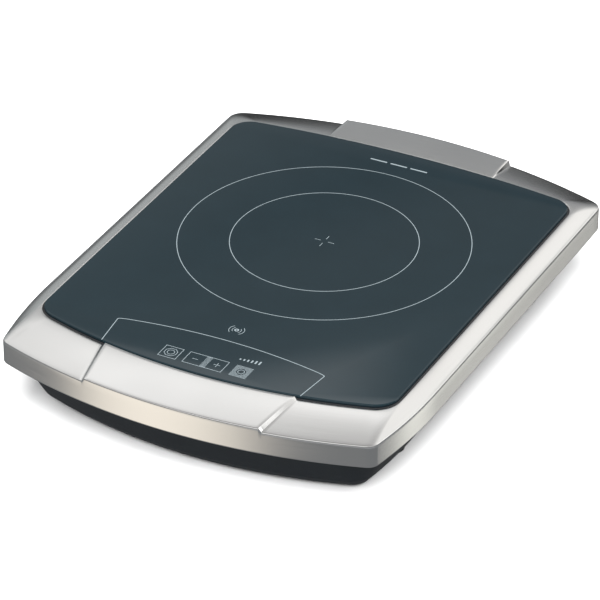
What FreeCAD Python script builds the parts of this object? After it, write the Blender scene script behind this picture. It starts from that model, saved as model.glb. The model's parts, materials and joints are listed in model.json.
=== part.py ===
"""Portable electric induction cooktop, built as separate pieces in millimetres.

Axes: +Z up, +Y to the back, +X to the right as seen by the cook. The origin is on the surface that the
feet stand on, under the middle of the outline.
"""
import FreeCAD, Part
import math
import os
import re
import Sketcher
from FreeCAD import Placement, Rotation, Vector

# Driving dimensions: alias, value, what it is. Everything else is worked out from these.
DIMENSIONS = [
    ("frame_half", 158.7, "half width of the steel frame"),
    ("frame_front", -213.7, "front of the frame at the middle"),
    ("frame_rear", 213.7, "rear of the frame at the middle"),
    ("frame_front_arc", 450, "radius of the frame's front edge"),
    ("frame_rear_arc", 450, "radius of the frame's rear edge"),
    ("frame_front_corner", 9, "front corner radius"),
    ("frame_rear_corner", 13, "rear corner radius"),
    ("frame_side_start", -104, "where the straight side starts to curve inwards"),
    ("frame_side_arc", 400, "radius of the side in front of that"),
    ("open_half", 144.4, "half width of the opening for the glass"),
    ("open_front", -172.6, "front of the opening at the middle"),
    ("open_rear", 177.4, "rear of the opening at the middle"),
    ("open_front_arc", 430, "radius of the opening's front edge"),
    ("open_rear_arc", 950, "radius of the opening's rear edge"),
    ("open_front_corner", 21, "front corner radius of the opening"),
    ("open_rear_corner", 18, "rear corner radius of the opening"),
    ("open_side_start", -80, "where the opening's side starts to curve"),
    ("open_side_arc", 9000, "radius of the opening's side in front of that"),
    ("glass_top", 68, "top of the glass above the table"),
    ("glass_thick", 4, "thickness of the ceramic glass"),
    ("glass_gap", 1.2, "width of the seal round the glass"),
    ("glass_bevel", 0.5, "ground edge of the glass"),
    ("ledge_level", 63.5, "top of the flange that carries the glass"),
    ("rim_over", 0.5, "how far the top runs over the opening before the tray is cut"),
    ("rim_level", 65.7, "top of the steel at the opening"),
    ("brow_level", 63.8, "top of the steel part of the way out"),
    ("brow_share", 0.45, "how far out that is"),
    ("crease_level", 60.8, "top of the steel at the crease"),
    ("skirt_level", 42.6, "bottom edge of the skirt"),
    ("sheet_thick", 1.2, "thickness of the pressed steel"),
    ("crease_round", 1.8, "outer radius of the crease"),
    ("ledge_width", 8, "width of the flange that carries the glass"),
    ("seal_rise", 2.4, "height of the seal beside the glass"),
    ("grip_front_inner", 77.5, "half width of the front grip at the glass"),
    ("grip_front_outer", 71, "half width of the front grip at the crease"),
    ("grip_front_rim", 67.3, "top of the front grip at the glass"),
    ("grip_front_crease", 63.5, "top of the front grip at the crease"),
    ("grip_rear_half", 70.5, "half width of the rear grip"),
    ("grip_rear_rim", 65.9, "top of the rear grip at the glass"),
    ("grip_rear_crease", 64.9, "top of the rear grip at the crease"),
    ("grip_draft", 0.7, "slope of the grips' end walls, sideways per unit of height"),
    ("base_floor", 5, "underside of the base"),
    ("base_wall", 2.5, "wall thickness of the base"),
    ("base_half", 132.5, "half width of the base's bottom"),
    ("base_front", -184.2, "front of the base's bottom at the middle"),
    ("base_rear", 184, "rear of the base's bottom at the middle"),
    ("base_front_arc", 370, "radius of the base's front edge"),
    ("base_rear_arc", 400, "radius of the base's rear edge"),
    ("base_front_corner", 12, "front corner radius of the base's bottom"),
    ("base_rear_corner", 12, "rear corner radius of the base's bottom"),
    ("base_side_start", -104, "where the base's side starts to curve"),
    ("base_side_arc", 300, "radius of the base's side in front of that"),
    ("base_round", 2, "radius of the base's bottom edge"),
    ("low_knee", 12, "lower bend of the base's wall"),
    ("low_share", 0.27, "how far out that is, from the bottom to the neck"),
    ("high_knee", 20, "upper bend of the base's wall"),
    ("high_share", 0.47, "how far out that is"),
    ("neck_inset", 6.5, "inset of the base's neck from the frame"),
    ("neck_corner", 44, "corner radius of the neck"),
    ("flange_level", 44, "underside of the flange round the neck, inside the skirt"),
    ("flange_thick", 2, "thickness of that flange"),
    ("collar_inset", 1.8, "inset of the collar on the flange from the frame"),
    ("collar_corner", 10, "corner radius of the collar"),
    ("collar_top", 50, "top of the collar"),
    ("foot_x", 123, "feet: distance from the middle, sideways"),
    ("foot_front", -101, "front feet"),
    ("foot_rear", 140, "rear feet"),
    ("foot_radius", 9, "radius of a foot at its top"),
    ("foot_tread", 8, "radius of a foot where it stands"),
    ("screw_radius", 1.5, "shank of the small screws"),
    ("screw_head", 3, "head radius of the small screws"),
    ("screw_head_tall", 2, "head height of the small screws"),
    ("screw_drive", 1, "depth of the recess in a screw's head"),
    ("screw_clear", 0.2, "clearance round a screw"),
    ("head_clear", 0.6, "clearance round a screw's head"),
    ("case_head_level", 8, "underside of the case screws' heads"),
    ("case_screw_tip", 1, "how far the case screws stand out of their tabs"),
    ("foot_head_level", 1, "underside of the foot screws' heads"),
    ("foot_shoulder", 2, "thickness of a foot under its screw's head"),
    ("foot_screw_tip", 2, "how far the foot screws stand out of the base's floor"),
    ("board_bite", 4, "how far the board screws go into their posts"),
    ("shield_bite", 7, "how far the shield screws go into their posts"),
    ("fan_bite", 1.1, "how far the fan screws go into the base's floor"),
    ("boss_x", 119, "case screw bosses: distance from the middle"),
    ("boss_front", -127, "front case screws"),
    ("boss_rear", 148, "rear case screws"),
    ("boss_radius", 5.5, "radius of a boss"),
    ("boss_top", 57, "top of the case screw bosses"),
    ("tab_thick", 1.5, "thickness of the bracket tabs"),
    ("tab_wide", 16, "width of the bracket tabs"),
    ("tab_inner", 112, "inner end of a bracket tab"),
    ("tab_outer", 141.5, "outer end of a bracket tab, where its leg stands"),
    ("board_post", 3.5, "radius of the power board's posts"),
    ("zone_y", 30.8, "middle of the cooking zone"),
    ("coil_inner", 22, "inner radius of the coil"),
    ("coil_outer", 92, "outer radius of the coil"),
    ("coil_low", 57.3, "underside of the coil"),
    ("coil_tall", 5, "thickness of the coil"),
    ("coil_turns", 23, "turns of the coil"),
    ("strand", 2.6, "diameter of the litz strand"),
    ("tie_thick", 0.6, "thickness of the web between the turns"),
    ("mica_thick", 0.8, "thickness of the insulating sheet"),
    ("mica_margin", 4, "how far the sheet reaches past the coil"),
    ("mica_bore", 7, "radius of the sheet's hole for the sensor"),
    ("carrier_low", 50.5, "underside of the coil carrier"),
    ("carrier_outer", 99, "outer radius of the coil carrier"),
    ("carrier_rim", 6, "width of the carrier's rings"),
    ("arm_wide", 17, "width of a carrier arm"),
    ("arm_count", 8, "arms and ferrite bars"),
    ("ferrite_long", 56, "length of a ferrite bar"),
    ("ferrite_wide", 12, "width of a ferrite bar"),
    ("ferrite_tall", 4.6, "height of a ferrite bar"),
    ("ferrite_sunk", 0.3, "how far the bars lie below the coil"),
    ("ferrite_play", 0.3, "clearance of a bar in its pocket"),
    ("holder_play", 0.3, "clearance of the sensor holder in the carrier's hub"),
    ("holder_bore", 5.5, "radius of the sensor holder's bore"),
    ("holder_tall", 5, "height of the sensor holder"),
    ("button_radius", 5, "radius of the sensor's button"),
    ("button_tall", 1.6, "height of the sensor's button"),
    ("stem_radius", 3, "radius of the sensor's stem"),
    ("stem_tall", 8.6, "height of the sensor's stem"),
    ("shield_low", 36, "underside of the shield plate"),
    ("shield_thick", 1, "thickness of the shield plate"),
    ("shield_half", 108, "half width of the shield plate"),
    ("post_x", 103, "shield posts: distance from the middle, sideways"),
    ("post_y", 90, "shield posts: distance from the zone's middle, front to back"),
    ("post_radius", 4, "radius of a shield post"),
    ("spring_radius", 4, "mean radius of a coil spring"),
    ("spring_wire", 1, "wire diameter of a coil spring"),
    ("spring_turns", 4, "turns of a coil spring"),
    ("lead_radius", 1.6, "radius of a coil lead"),
    ("lead_half", 4.5, "half the spacing of the coil leads"),
    ("lead_reach", 60, "where the coil leads drop, in front of the zone's middle"),
    ("lead_gap_wide", 20, "hole in the shield for the coil leads, sideways"),
    ("lead_gap_deep", 14, "hole in the shield for the coil leads, front to back"),
    ("fan_x", -58, "cooling fan axis, sideways"),
    ("fan_y", 82, "cooling fan axis, front to back"),
    ("fan_size", 80, "fan housing, side of its square"),
    ("fan_tall", 15, "fan housing height"),
    ("fan_bore", 38, "radius of the fan housing's opening"),
    ("fan_hub", 17.5, "radius of the impeller's hub"),
    ("fan_tip", 36.5, "radius of the blades' tips"),
    ("fan_blades", 7, "number of blades"),
    ("fan_holes", 71.5, "spacing of the fan's mounting holes"),
    ("shaft_radius", 1.5, "fan shaft"),
    ("shaft_play", 0.05, "radial clearance of the shaft in its bearing"),
    ("shaft_lift", 0.8, "lower end of the shaft above the base's floor"),
    ("shaft_long", 11.6, "length of the shaft"),
    ("bearing_radius", 3.5, "outer radius of the fan's bearing"),
    ("bearing_long", 10, "length of the fan's bearing"),
    ("motor_plate", 16, "radius of the plate that carries the fan's motor"),
    ("motor_thick", 2, "thickness of that plate and of its struts"),
    ("strut_wide", 4, "width of a strut"),
    ("stator_lift", 3.6, "underside of the stator above the base's floor"),
    ("stator_core", 6.5, "radius of the stator's core"),
    ("stator_tall", 5, "height of the stator"),
    ("pole_long", 11.5, "how far a stator pole reaches from the axis"),
    ("pole_wide", 4, "width of a stator pole"),
    ("winding_start", 7, "inner end of a winding from the axis"),
    ("winding_long", 3, "length of a winding along its pole"),
    ("winding_side", 1.5, "thickness of a winding beside its pole"),
    ("winding_over", 0.8, "thickness of a winding above and below its pole"),
    ("cup_lift", 3, "lower edge of the impeller's cup above the base's floor"),
    ("cup_tall", 10.5, "height of the impeller's cup"),
    ("cup_wall", 1.5, "wall thickness of the impeller's cup"),
    ("cup_deep", 9, "depth inside the impeller's cup"),
    ("socket_radius", 3.2, "radius of the impeller's shaft socket"),
    ("socket_lift", 10.4, "lower end of the socket above the base's floor"),
    ("socket_bite", 2, "how far the shaft goes into the socket"),
    ("blade_low", 3.4, "lower edge of the blades above the base's floor"),
    ("blade_high", 13, "upper edge of the blades above the base's floor"),
    ("blade_thick", 1.2, "width of a blade's edge"),
    ("magnet_thick", 3, "thickness of the magnet ring"),
    ("magnet_tall", 7, "height of the magnet ring"),
    ("magnet_lift", 3.4, "underside of the magnet ring above the base's floor"),
    ("board_x", 42, "middle of the power board, sideways"),
    ("board_y", 42, "middle of the power board, front to back"),
    ("board_wide", 112, "power board, sideways"),
    ("board_deep", 176, "power board, front to back"),
    ("board_level", 12, "underside of the power board"),
    ("board_thick", 1.6, "thickness of the circuit boards"),
    ("sink_wide", 52, "heat sink, sideways"),
    ("sink_deep", 84, "heat sink, front to back"),
    ("sink_tall", 20, "heat sink height"),
    ("sink_base", 4, "heat sink base thickness"),
    ("sink_fins", 11, "number of fins"),
    ("fin_thick", 1.4, "thickness of a fin"),
    ("touch_wide", 104, "touch board, sideways"),
    ("touch_deep", 30, "touch board, front to back"),
    ("touch_y", -150, "middle of the touch board"),
    ("touch_level", 56, "underside of the touch board"),
    ("touch_pitch", 19, "spacing of the touch springs"),
    ("touch_spring_radius", 3.2, "mean radius of a touch spring"),
    ("touch_spring_wire", 0.7, "wire diameter of a touch spring"),
    ("touch_spring_turns", 5, "turns of a touch spring"),
    ("lamp_radius", 1.5, "radius of an indicator lamp"),
    ("lamp_tall", 3.5, "height of an indicator lamp"),
    ("tray_margin", 3, "wall of the touch board's tray"),
    ("tray_tall", 8, "height of the touch board's tray"),
    ("ribbon_x", 30, "middle of the ribbon cable, sideways"),
    ("ribbon_wide", 14, "width of the ribbon cable"),
    ("ribbon_thick", 1.1, "thickness of the ribbon cable"),
    ("gland_x", 62, "cord inlet, sideways"),
    ("gland_level", 26, "cord inlet, height"),
    ("gland_bore", 4.2, "radius of the cord inlet's bore"),
    ("gland_radius", 8, "outer radius of the cord inlet"),
    ("gland_inner", 176, "inner end of the cord inlet"),
    ("gland_outer", 204, "outer face of the boss round the cord inlet"),
    ("gland_boss", 12, "radius of that boss"),
    ("gland_flange", 2.5, "thickness of the inlet's flange"),
    ("slot_wide", 3.6, "width of the ventilation slots"),
    ("slot_pitch", 7.2, "spacing of the ventilation slots"),
    ("outlet_start", -112, "left edge of the first outlet slot"),
    ("outlet_count", 14, "number of outlet slots"),
    ("outlet_low", 16, "lower end of the outlet slots"),
    ("outlet_tall", 18, "height of the outlet slots"),
    ("baffle_wall", 1.5, "thickness of the air baffle"),
    ("baffle_gap", 0.5, "space between the air baffle and the shield"),
]

# Plain components of the power board: piece, size, and its middle from the board's middle.
COMPONENTS = [
    ("bridge_rectifier", (30, 5, 20), (-22, -42)),
    ("resonance_capacitor", (42, 18, 20), (32, 60)),
    ("smoothing_capacitor", (42, 18, 20), (32, 36)),
    ("interference_capacitor", (26, 12, 16), (32, -60)),
    ("relay_block", (28, 12, 15), (20, -78)),
    ("fuse_holder", (30, 10, 4), (32, -34)),
]
SINK_SPOT = (-22, 10)
TERMINAL_SPOT = (34, 80)
CORNERS = ((-1, -1), (-1, 1), (1, -1), (1, 1))

doc = FreeCAD.newDocument("induction_cooktop")
sheet = doc.addObject("Spreadsheet::Sheet", "Sheet")
for row, (alias, value, meaning) in enumerate(DIMENSIONS, start=1):
    sheet.set("A%d" % row, alias)
    sheet.set("B%d" % row, str(value))
    sheet.set("C%d" % row, meaning)
    sheet.setAlias("B%d" % row, alias)
doc.recompute()

ALIASES = {alias for alias, value, meaning in DIMENSIONS}
NODES = []
UP = Vector(0, 0, 1)
BACK = Vector(0, 1, 0)


# ---------------------------------------------------------------- helpers

def dim(alias):
    """Value of one cell of the sheet."""
    return float(sheet.get(alias))


def formula(text):
    """Turn the aliases in a formula into references to the sheet."""
    def reference(found):
        word = found.group(0)
        return "Sheet." + word if word in ALIASES else word
    return re.sub(r"[a-z][a-z_]*", reference, str(text))


def number(text):
    """Work a formula of the sheet's aliases out as a plain number."""
    total = doc.getObject("Sheet").evalExpression(formula(text))
    return float(getattr(total, "Value", total))


def bind(thing, formulas):
    for prop, text in formulas.items():
        thing.setExpression(prop, formula(text))


def place(thing, spot, turn=None):
    """Bind an object's position to three formulas, after an optional fixed turn."""
    if turn is not None:
        thing.Placement = Placement(Vector(), turn)
    bind(thing, {"Placement.Base.x": spot[0], "Placement.Base.y": spot[1], "Placement.Base.z": spot[2]})


def node(thing):
    """Mark an object as one sub-part: its Label names its file."""
    NODES.append(thing)
    return thing


def block(label, size, corner):
    """A block of three sizes with its lowest corner at a spot."""
    made = doc.addObject("Part::Box", label)
    bind(made, {"Length": size[0], "Width": size[1], "Height": size[2]})
    place(made, corner)
    return made


def centred_block(label, size, spot):
    """A block centred sideways and front to back on a spot, standing on its level."""
    corner = ("%s - (%s)/2" % (spot[0], size[0]), "%s - (%s)/2" % (spot[1], size[1]), spot[2])
    return block(label, size, corner)


def post(label, radius, tall, spot, turn=None):
    """A round post standing on a spot."""
    made = doc.addObject("Part::Cylinder", label)
    bind(made, {"Radius": radius, "Height": tall})
    place(made, spot, turn)
    return made


def tube(label, outer, inner, tall, spot, turn=None):
    """A round post with a bore right through."""
    solid = post(label + "_outside", outer, tall, spot, turn)
    bore = post(label + "_bore", inner, tall, spot, turn)
    return cut(label, solid, [bore])


def joined(label, things):
    made = doc.addObject("Part::MultiFuse", label)
    made.Shapes = things
    return made


def group(label, things):
    """Separate solids that share one node."""
    made = doc.addObject("Part::Compound", label)
    made.Links = things
    return made


def cut(label, base, tools):
    made = doc.addObject("Part::Cut", label)
    made.Base = base
    made.Tool = tools[0] if len(tools) == 1 else joined(label + "_cutters", tools)
    return made


def shaped(label, shape):
    made = doc.addObject("Part::Feature", label)
    made.Shape = shape
    return made


def polar(angle, radius, centre=(0.0, 0.0), level=0.0):
    turn = math.radians(angle)
    return Vector(centre[0] + radius * math.cos(turn), centre[1] + radius * math.sin(turn), level)


# ---------------------------------------------------------------- outlines

OUTLINE_KEYS = ("half", "front", "rear", "front_arc", "rear_arc", "front_corner", "rear_corner",
                "side_start", "side_arc")


def outline_values(name):
    return {key: dim("%s_%s" % (name, key)) for key in OUTLINE_KEYS}


def between(first, second, share):
    """Outline values part of the way from one outline to another, the arcs by their curvature."""
    values = {}
    for key in OUTLINE_KEYS:
        start = first[key]
        end = second[key]
        if key.endswith("_arc"):
            values[key] = 1 / (1 / start + share * (1 / end - 1 / start))
        else:
            values[key] = start + share * (end - start)
    return values


def circles_meet(centre_a, radius_a, centre_b, radius_b):
    """The crossing of two circles that lies furthest to the right and front."""
    gap = centre_b - centre_a
    along = (radius_a ** 2 - radius_b ** 2 + gap.Length ** 2) / (2 * gap.Length)
    aside = math.sqrt(radius_a ** 2 - along ** 2)
    unit = gap / gap.Length
    normal = Vector(-unit.y, unit.x, 0)
    spots = [centre_a + unit * along + normal * aside * side for side in (1, -1)]
    return max(spots, key=lambda spot: spot.x - spot.y)


def mirrored(spot):
    return Vector(-spot.x, spot.y, spot.z)


def outline(values, level=0.0, inset=0.0, corner=0.0):
    """Ten curves round the plan: two long arcs, two bowed sides and four rounded corners."""
    half = values["half"] - inset
    front_corner = max(values["front_corner"] - inset, corner, 1.0)
    rear_corner = max(values["rear_corner"] - inset, corner, 1.0)
    front_radius = values["front_arc"] - inset
    rear_radius = values["rear_arc"] - inset
    side_radius = values["side_arc"] - inset
    front_middle = Vector(0, values["front"] + values["front_arc"], 0)
    rear_middle = Vector(0, values["rear"] - values["rear_arc"], 0)
    side_middle = Vector(values["half"] - values["side_arc"], values["side_start"], 0)
    front_spot = circles_meet(front_middle, front_radius - front_corner,
                              side_middle, side_radius - front_corner)
    rear_x = half - rear_corner
    rear_y = rear_middle.y + math.sqrt((rear_radius - rear_corner) ** 2 - rear_x ** 2)
    rear_spot = Vector(rear_x, rear_y, 0)

    def on_circle(middle, radius, towards):
        return middle + (towards - middle).normalize() * radius

    front_tangent = on_circle(front_middle, front_radius, front_spot)
    side_tangent = on_circle(side_middle, side_radius, front_spot)
    side_top = Vector(half, values["side_start"], 0)
    rear_side = Vector(half, rear_y, 0)
    rear_tangent = on_circle(rear_middle, rear_radius, rear_spot)
    front_bisect = (front_tangent + side_tangent) * 0.5
    rear_bisect = (rear_side + rear_tangent) * 0.5
    side_bisect = (side_tangent + side_top) * 0.5
    right = [
        ("arc", front_tangent, on_circle(front_spot, front_corner, front_bisect), side_tangent),
        ("arc", side_tangent, on_circle(side_middle, side_radius, side_bisect), side_top),
        ("line", side_top, None, rear_side),
        ("arc", rear_side, on_circle(rear_spot, rear_corner, rear_bisect), rear_tangent),
    ]
    rear = ("arc", rear_tangent, Vector(0, rear_middle.y + rear_radius, 0), mirrored(rear_tangent))
    left = [(kind, mirrored(end), middle and mirrored(middle), mirrored(start))
            for kind, start, middle, end in reversed(right)]
    front_end = Vector(0, front_middle.y - front_radius, 0)
    front = ("arc", mirrored(front_tangent), front_end, front_tangent)
    lift = Vector(0, 0, level)
    curves = []
    for kind, start, middle, end in [front] + right + [rear] + left:
        if kind == "arc":
            curves.append(Part.Arc(start + lift, middle + lift, end + lift))
        else:
            curves.append(Part.LineSegment(start + lift, end + lift))
    return curves


def wire(curves):
    return Part.Wire([curve.toShape() for curve in curves])


def prism(values, low, high, inset=0.0, corner=0.0):
    """Upright solid over an outline, between two levels."""
    face = Part.Face(wire(outline(values, low, inset, corner)))
    return face.extrude(Vector(0, 0, high - low))


def ruled(wires):
    return Part.makeLoft(wires, True, True)


# ---------------------------------------------------------------- casing

FRAME = outline_values("frame")
OPENING = outline_values("open")


def frame_block(rim, crease, shrink):
    """The frame's outer form, or its hollow when shrunk by the sheet's thickness."""
    brow = between(FRAME, OPENING, dim("brow_share"))
    rise = (dim("brow_level") - dim("crease_level")) / (dim("rim_level") - dim("crease_level"))
    brow_level = crease + rise * (rim - crease)
    radius = dim("crease_round") - shrink
    wires = [wire(outline(FRAME, dim("skirt_level"), shrink))]
    for angle in (0, 30, 60, 90):
        turn = math.radians(angle)
        inset = shrink + radius * (1 - math.cos(turn))
        wires.append(wire(outline(FRAME, crease - shrink - radius * (1 - math.sin(turn)), inset)))
    wires.append(wire(outline(brow, brow_level - shrink)))
    wires.append(wire(outline(OPENING, rim - shrink, dim("rim_over"))))
    return ruled(wires)


def grip_wedge(inner_half, outer_half, side, shrink):
    """Plan of one grip, its end walls leaning inwards as they rise."""
    near = dim("foot_x") / 2
    far = dim("frame_rear") + 25
    inner_edge = abs(dim("open_front") if side < 0 else dim("open_rear"))
    outer_edge = dim("frame_rear")
    slope = (outer_half - inner_half) / (outer_edge - inner_edge)
    middle_level = dim("rim_level") + 1.0
    wires = []
    for level in (dim("skirt_level") - 1, dim("glass_top") + 2):
        lean = dim("grip_draft") * (middle_level - shrink - level) - shrink
        near_half = inner_half + slope * (near - inner_edge) + lean
        far_half = inner_half + slope * (far - inner_edge) + lean
        corners = [
            Vector(-near_half, side * near, level),
            Vector(near_half, side * near, level),
            Vector(far_half, side * far, level),
            Vector(-far_half, side * far, level),
        ]
        wires.append(Part.makePolygon(corners + corners[:1]))
    return ruled(wires)


def frame_form(shrink):
    """Frame block with both grips raised out of it and a tray sunk for the glass."""
    form = frame_block(dim("rim_level"), dim("crease_level"), shrink)
    grips = [
        ("grip_front_rim", "grip_front_crease", dim("grip_front_inner"), dim("grip_front_outer"), -1),
        ("grip_rear_rim", "grip_rear_crease", dim("grip_rear_half"), dim("grip_rear_half"), 1),
    ]
    for rim, crease, inner_half, outer_half, side in grips:
        raised = frame_block(dim(rim), dim(crease), shrink)
        form = form.fuse(raised.common(grip_wedge(inner_half, outer_half, side, shrink)))
    tray = prism(OPENING, dim("ledge_level") - shrink, dim("glass_top") + 3, -shrink)
    return form.cut(tray).removeSplitter()


def make_top_frame():
    thick = dim("sheet_thick")
    outside = frame_form(0.0)
    inside = frame_form(thick)
    cellar = prism(FRAME, dim("skirt_level") - 5, dim("skirt_level") + 0.5, thick)
    hole = prism(OPENING, dim("skirt_level"), dim("glass_top"), dim("ledge_width"))
    sheet_metal = outside.cut(inside).cut(cellar).cut(hole)
    return node(shaped("top_frame", sheet_metal))


def add_curves(sketch, curves):
    """Draw closed curves in a sketch and tie each one's end to the next one's start."""
    sketch.addGeometry(curves, False)
    count = len(curves)
    for here in range(count):
        after = (here + 1) % count
        sketch.addConstraint(Sketcher.Constraint("Coincident", here, 2, after, 1))


def origin_plane(body, role):
    return next(plane for plane in body.Origin.OriginFeatures if plane.Role == role)


def plan_sketch(body, name, level, curves=()):
    """Sketch on the body's ground plane, lifted to a level of the sheet."""
    sketch = body.newObject("Sketcher::SketchObject", name)
    sketch.AttachmentSupport = [(origin_plane(body, "XY_Plane"), "")]
    sketch.MapMode = "FlatFace"
    sketch.setExpression("AttachmentOffset.Base.z", formula(level))
    if curves:
        add_curves(sketch, list(curves))
    return sketch


def circle_in(sketch, radius, x="0", y="0"):
    """Circle whose radius and centre are bound to formulas."""
    index = sketch.addGeometry(Part.Circle(Vector(number(x), number(y), 0), UP, number(radius)), False)
    for kind, text in (("Radius", radius), ("DistanceX", x), ("DistanceY", y)):
        if kind == "Radius":
            made = sketch.addConstraint(Sketcher.Constraint(kind, index, number(text)))
        else:
            made = sketch.addConstraint(Sketcher.Constraint(kind, -1, 1, index, 3, number(text)))
        sketch.setExpression("Constraints[%d]" % made, formula(text))


def pad(body, sketch, length, name="Pad"):
    made = body.newObject("PartDesign::Pad", name)
    made.Profile = sketch
    made.setExpression("Length", formula(length))
    sketch.Visibility = False
    return made


def make_glass():
    body = doc.addObject("PartDesign::Body", "glass_plate")
    sketch = plan_sketch(body, "glass_outline", "glass_top - glass_thick",
                         outline(OPENING, 0.0, dim("glass_gap")))
    plate = pad(body, sketch, "glass_thick", "glass_pad")
    doc.recompute()
    edges = []
    for index, edge in enumerate(plate.Shape.Edges, start=1):
        if min(vertex.Z for vertex in edge.Vertexes) > dim("glass_top") - 0.01:
            edges.append("Edge%d" % index)
    bevel = body.newObject("PartDesign::Chamfer", "ground_edge")
    bevel.Base = (plate, edges)
    bevel.setExpression("Size", formula("glass_bevel"))
    return node(body)


def make_seal():
    """Silicone bed under the glass and bead round it."""
    low = dim("ledge_level")
    bed = prism(OPENING, low, low + dim("seal_rise"), 0.05)
    bed = bed.cut(prism(OPENING, dim("glass_top") - dim("glass_thick"), dim("glass_top"), dim("glass_gap")))
    bed = bed.cut(prism(OPENING, low - 1, dim("glass_top"), dim("ledge_width")))
    return node(shaped("glass_seal", bed))


def inset_values(values, inset, corner):
    """Outline values of a smaller outline, with its corners no sharper than a radius."""
    smaller = dict(values)
    for key in ("half", "rear", "front_arc", "rear_arc", "side_arc"):
        smaller[key] -= inset
    smaller["front"] += inset
    for key in ("front_corner", "rear_corner"):
        smaller[key] = max(values[key] - inset, corner)
    return smaller


def base_block(shrink, floor):
    """The base's drafted, slightly bulging form up to its flange, or its hollow when shrunk."""
    foot = outline_values("base")
    neck = inset_values(FRAME, dim("neck_inset"), dim("neck_corner"))
    return ruled([
        wire(outline(foot, floor, shrink)),
        wire(outline(between(foot, neck, dim("low_share")), dim("low_knee"), shrink)),
        wire(outline(between(foot, neck, dim("high_share")), dim("high_knee"), shrink)),
        wire(outline(neck, dim("skirt_level"), shrink)),
        wire(outline(neck, dim("flange_level") + dim("flange_thick"), shrink)),
    ])


def base_shell():
    """Hollow base with a flange and a collar that sit inside the frame's skirt."""
    floor = dim("base_floor")
    wall = dim("base_wall")
    outside = base_block(0.0, floor)
    bottom = [edge for edge in outside.Edges if max(vertex.Z for vertex in edge.Vertexes) < floor + 0.01]
    outside = outside.makeFillet(dim("base_round"), bottom)
    flange_top = dim("flange_level") + dim("flange_thick")
    corner = dim("collar_corner")
    rim = prism(FRAME, dim("flange_level"), dim("collar_top"), dim("collar_inset"), corner)
    well = prism(FRAME, flange_top, dim("collar_top") + 1, dim("collar_inset") + wall, corner)
    return outside.fuse(rim).cut(well).cut(base_block(wall, floor + wall))


def four_spots(x_name, front_name, rear_name):
    """The four spots of a left and right, front and rear set, as formulas."""
    return [(sign + x_name, y_name) for sign in ("-", "") for y_name in (front_name, rear_name)]


def pilot_hole(spot, seat, bite):
    """Hole for a screw that bites into the plastic below its seat."""
    deep = dim(bite) + dim("screw_clear")
    return Part.makeCylinder(dim("screw_radius"), deep + 0.5, Vector(spot[0], spot[1], seat - deep))


def base_additions():
    """Bosses, posts and the boss of the cord inlet."""
    floor = dim("base_floor")
    inlet = Vector(dim("gland_x"), dim("gland_inner") + 4, dim("gland_level"))
    added = [Part.makeCylinder(dim("gland_boss"), dim("gland_outer") - inlet.y, inlet, BACK)]
    for x_name, y_name in four_spots("boss_x", "boss_front", "boss_rear"):
        spot = Vector(number(x_name), number(y_name), floor)
        added.append(Part.makeCylinder(dim("boss_radius"), dim("boss_top") - floor, spot))
    for x, y in shield_posts():
        added.append(Part.makeCylinder(dim("post_radius"), dim("shield_low") - floor, Vector(x, y, floor)))
    for x, y in board_posts():
        added.append(Part.makeCylinder(dim("board_post"), dim("board_level") - floor, Vector(x, y, floor)))
    return added


def base_removals():
    """Screw holes, the bore of the cord inlet and the ventilation slots."""
    under = dim("base_floor") - 1
    clear = dim("screw_radius") + dim("screw_clear")
    removed = grille_slots() + outlet_slots()
    for x_name, y_name in four_spots("boss_x", "boss_front", "boss_rear"):
        spot = Vector(number(x_name), number(y_name), under)
        removed.append(Part.makeCylinder(clear, dim("boss_top"), spot))
        well = dim("case_head_level") + dim("screw_head_tall") - under
        removed.append(Part.makeCylinder(dim("screw_head") + dim("head_clear"), well, spot))
    for x_name, y_name in four_spots("foot_x", "foot_front", "foot_rear"):
        spot = Vector(number(x_name), number(y_name), under)
        removed.append(Part.makeCylinder(clear, dim("base_wall") + 2, spot))
    removed += [pilot_hole(spot, dim("shield_low"), "shield_bite") for spot in shield_posts()]
    removed += [pilot_hole(spot, dim("board_level"), "board_bite") for spot in board_posts()]
    inside = dim("base_floor") + dim("base_wall")
    removed += [pilot_hole(spot, inside, "fan_bite") for spot in fan_corners()]
    start = Vector(dim("gland_x"), dim("gland_inner") - 10, dim("gland_level"))
    long = dim("gland_outer") - start.y + 1
    removed.append(Part.makeCylinder(dim("gland_radius") + dim("screw_clear"), long, start, BACK))
    return removed


def make_base():
    """Moulded base: bulging walls, bosses, posts, fan grille and rear outlet slots."""
    shell = base_shell().multiFuse(base_additions())
    for piece in base_removals():
        shell = shell.cut(piece)
    return node(shaped("base_tub", shell.removeSplitter()))


def shield_posts():
    """Screw spots of the shield plate."""
    return [(x * dim("post_x"), dim("zone_y") + y * dim("post_y")) for x, y in CORNERS]


def board_posts():
    """Screw spots of the power board."""
    x_half = dim("board_wide") / 2 - 5
    y_half = dim("board_deep") / 2 - 5
    return [(dim("board_x") + x * x_half, dim("board_y") + y * y_half) for x, y in CORNERS]


def fan_corners():
    """Screw spots of the fan."""
    half = dim("fan_holes") / 2
    return [(dim("fan_x") + x * half, dim("fan_y") + y * half) for x, y in CORNERS]


def rounded_slot(middle, long, wide, deep):
    """Slot along Y with round ends, cut upwards from its level."""
    half = (long - wide) / 2
    start = Vector(middle.x - wide / 2, middle.y - half, middle.z)
    slot = Part.makeBox(wide, 2 * half, deep, start)
    for end in (-half, half):
        slot = slot.fuse(Part.makeCylinder(wide / 2, deep, middle + Vector(0, end, 0)))
    return slot


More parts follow.
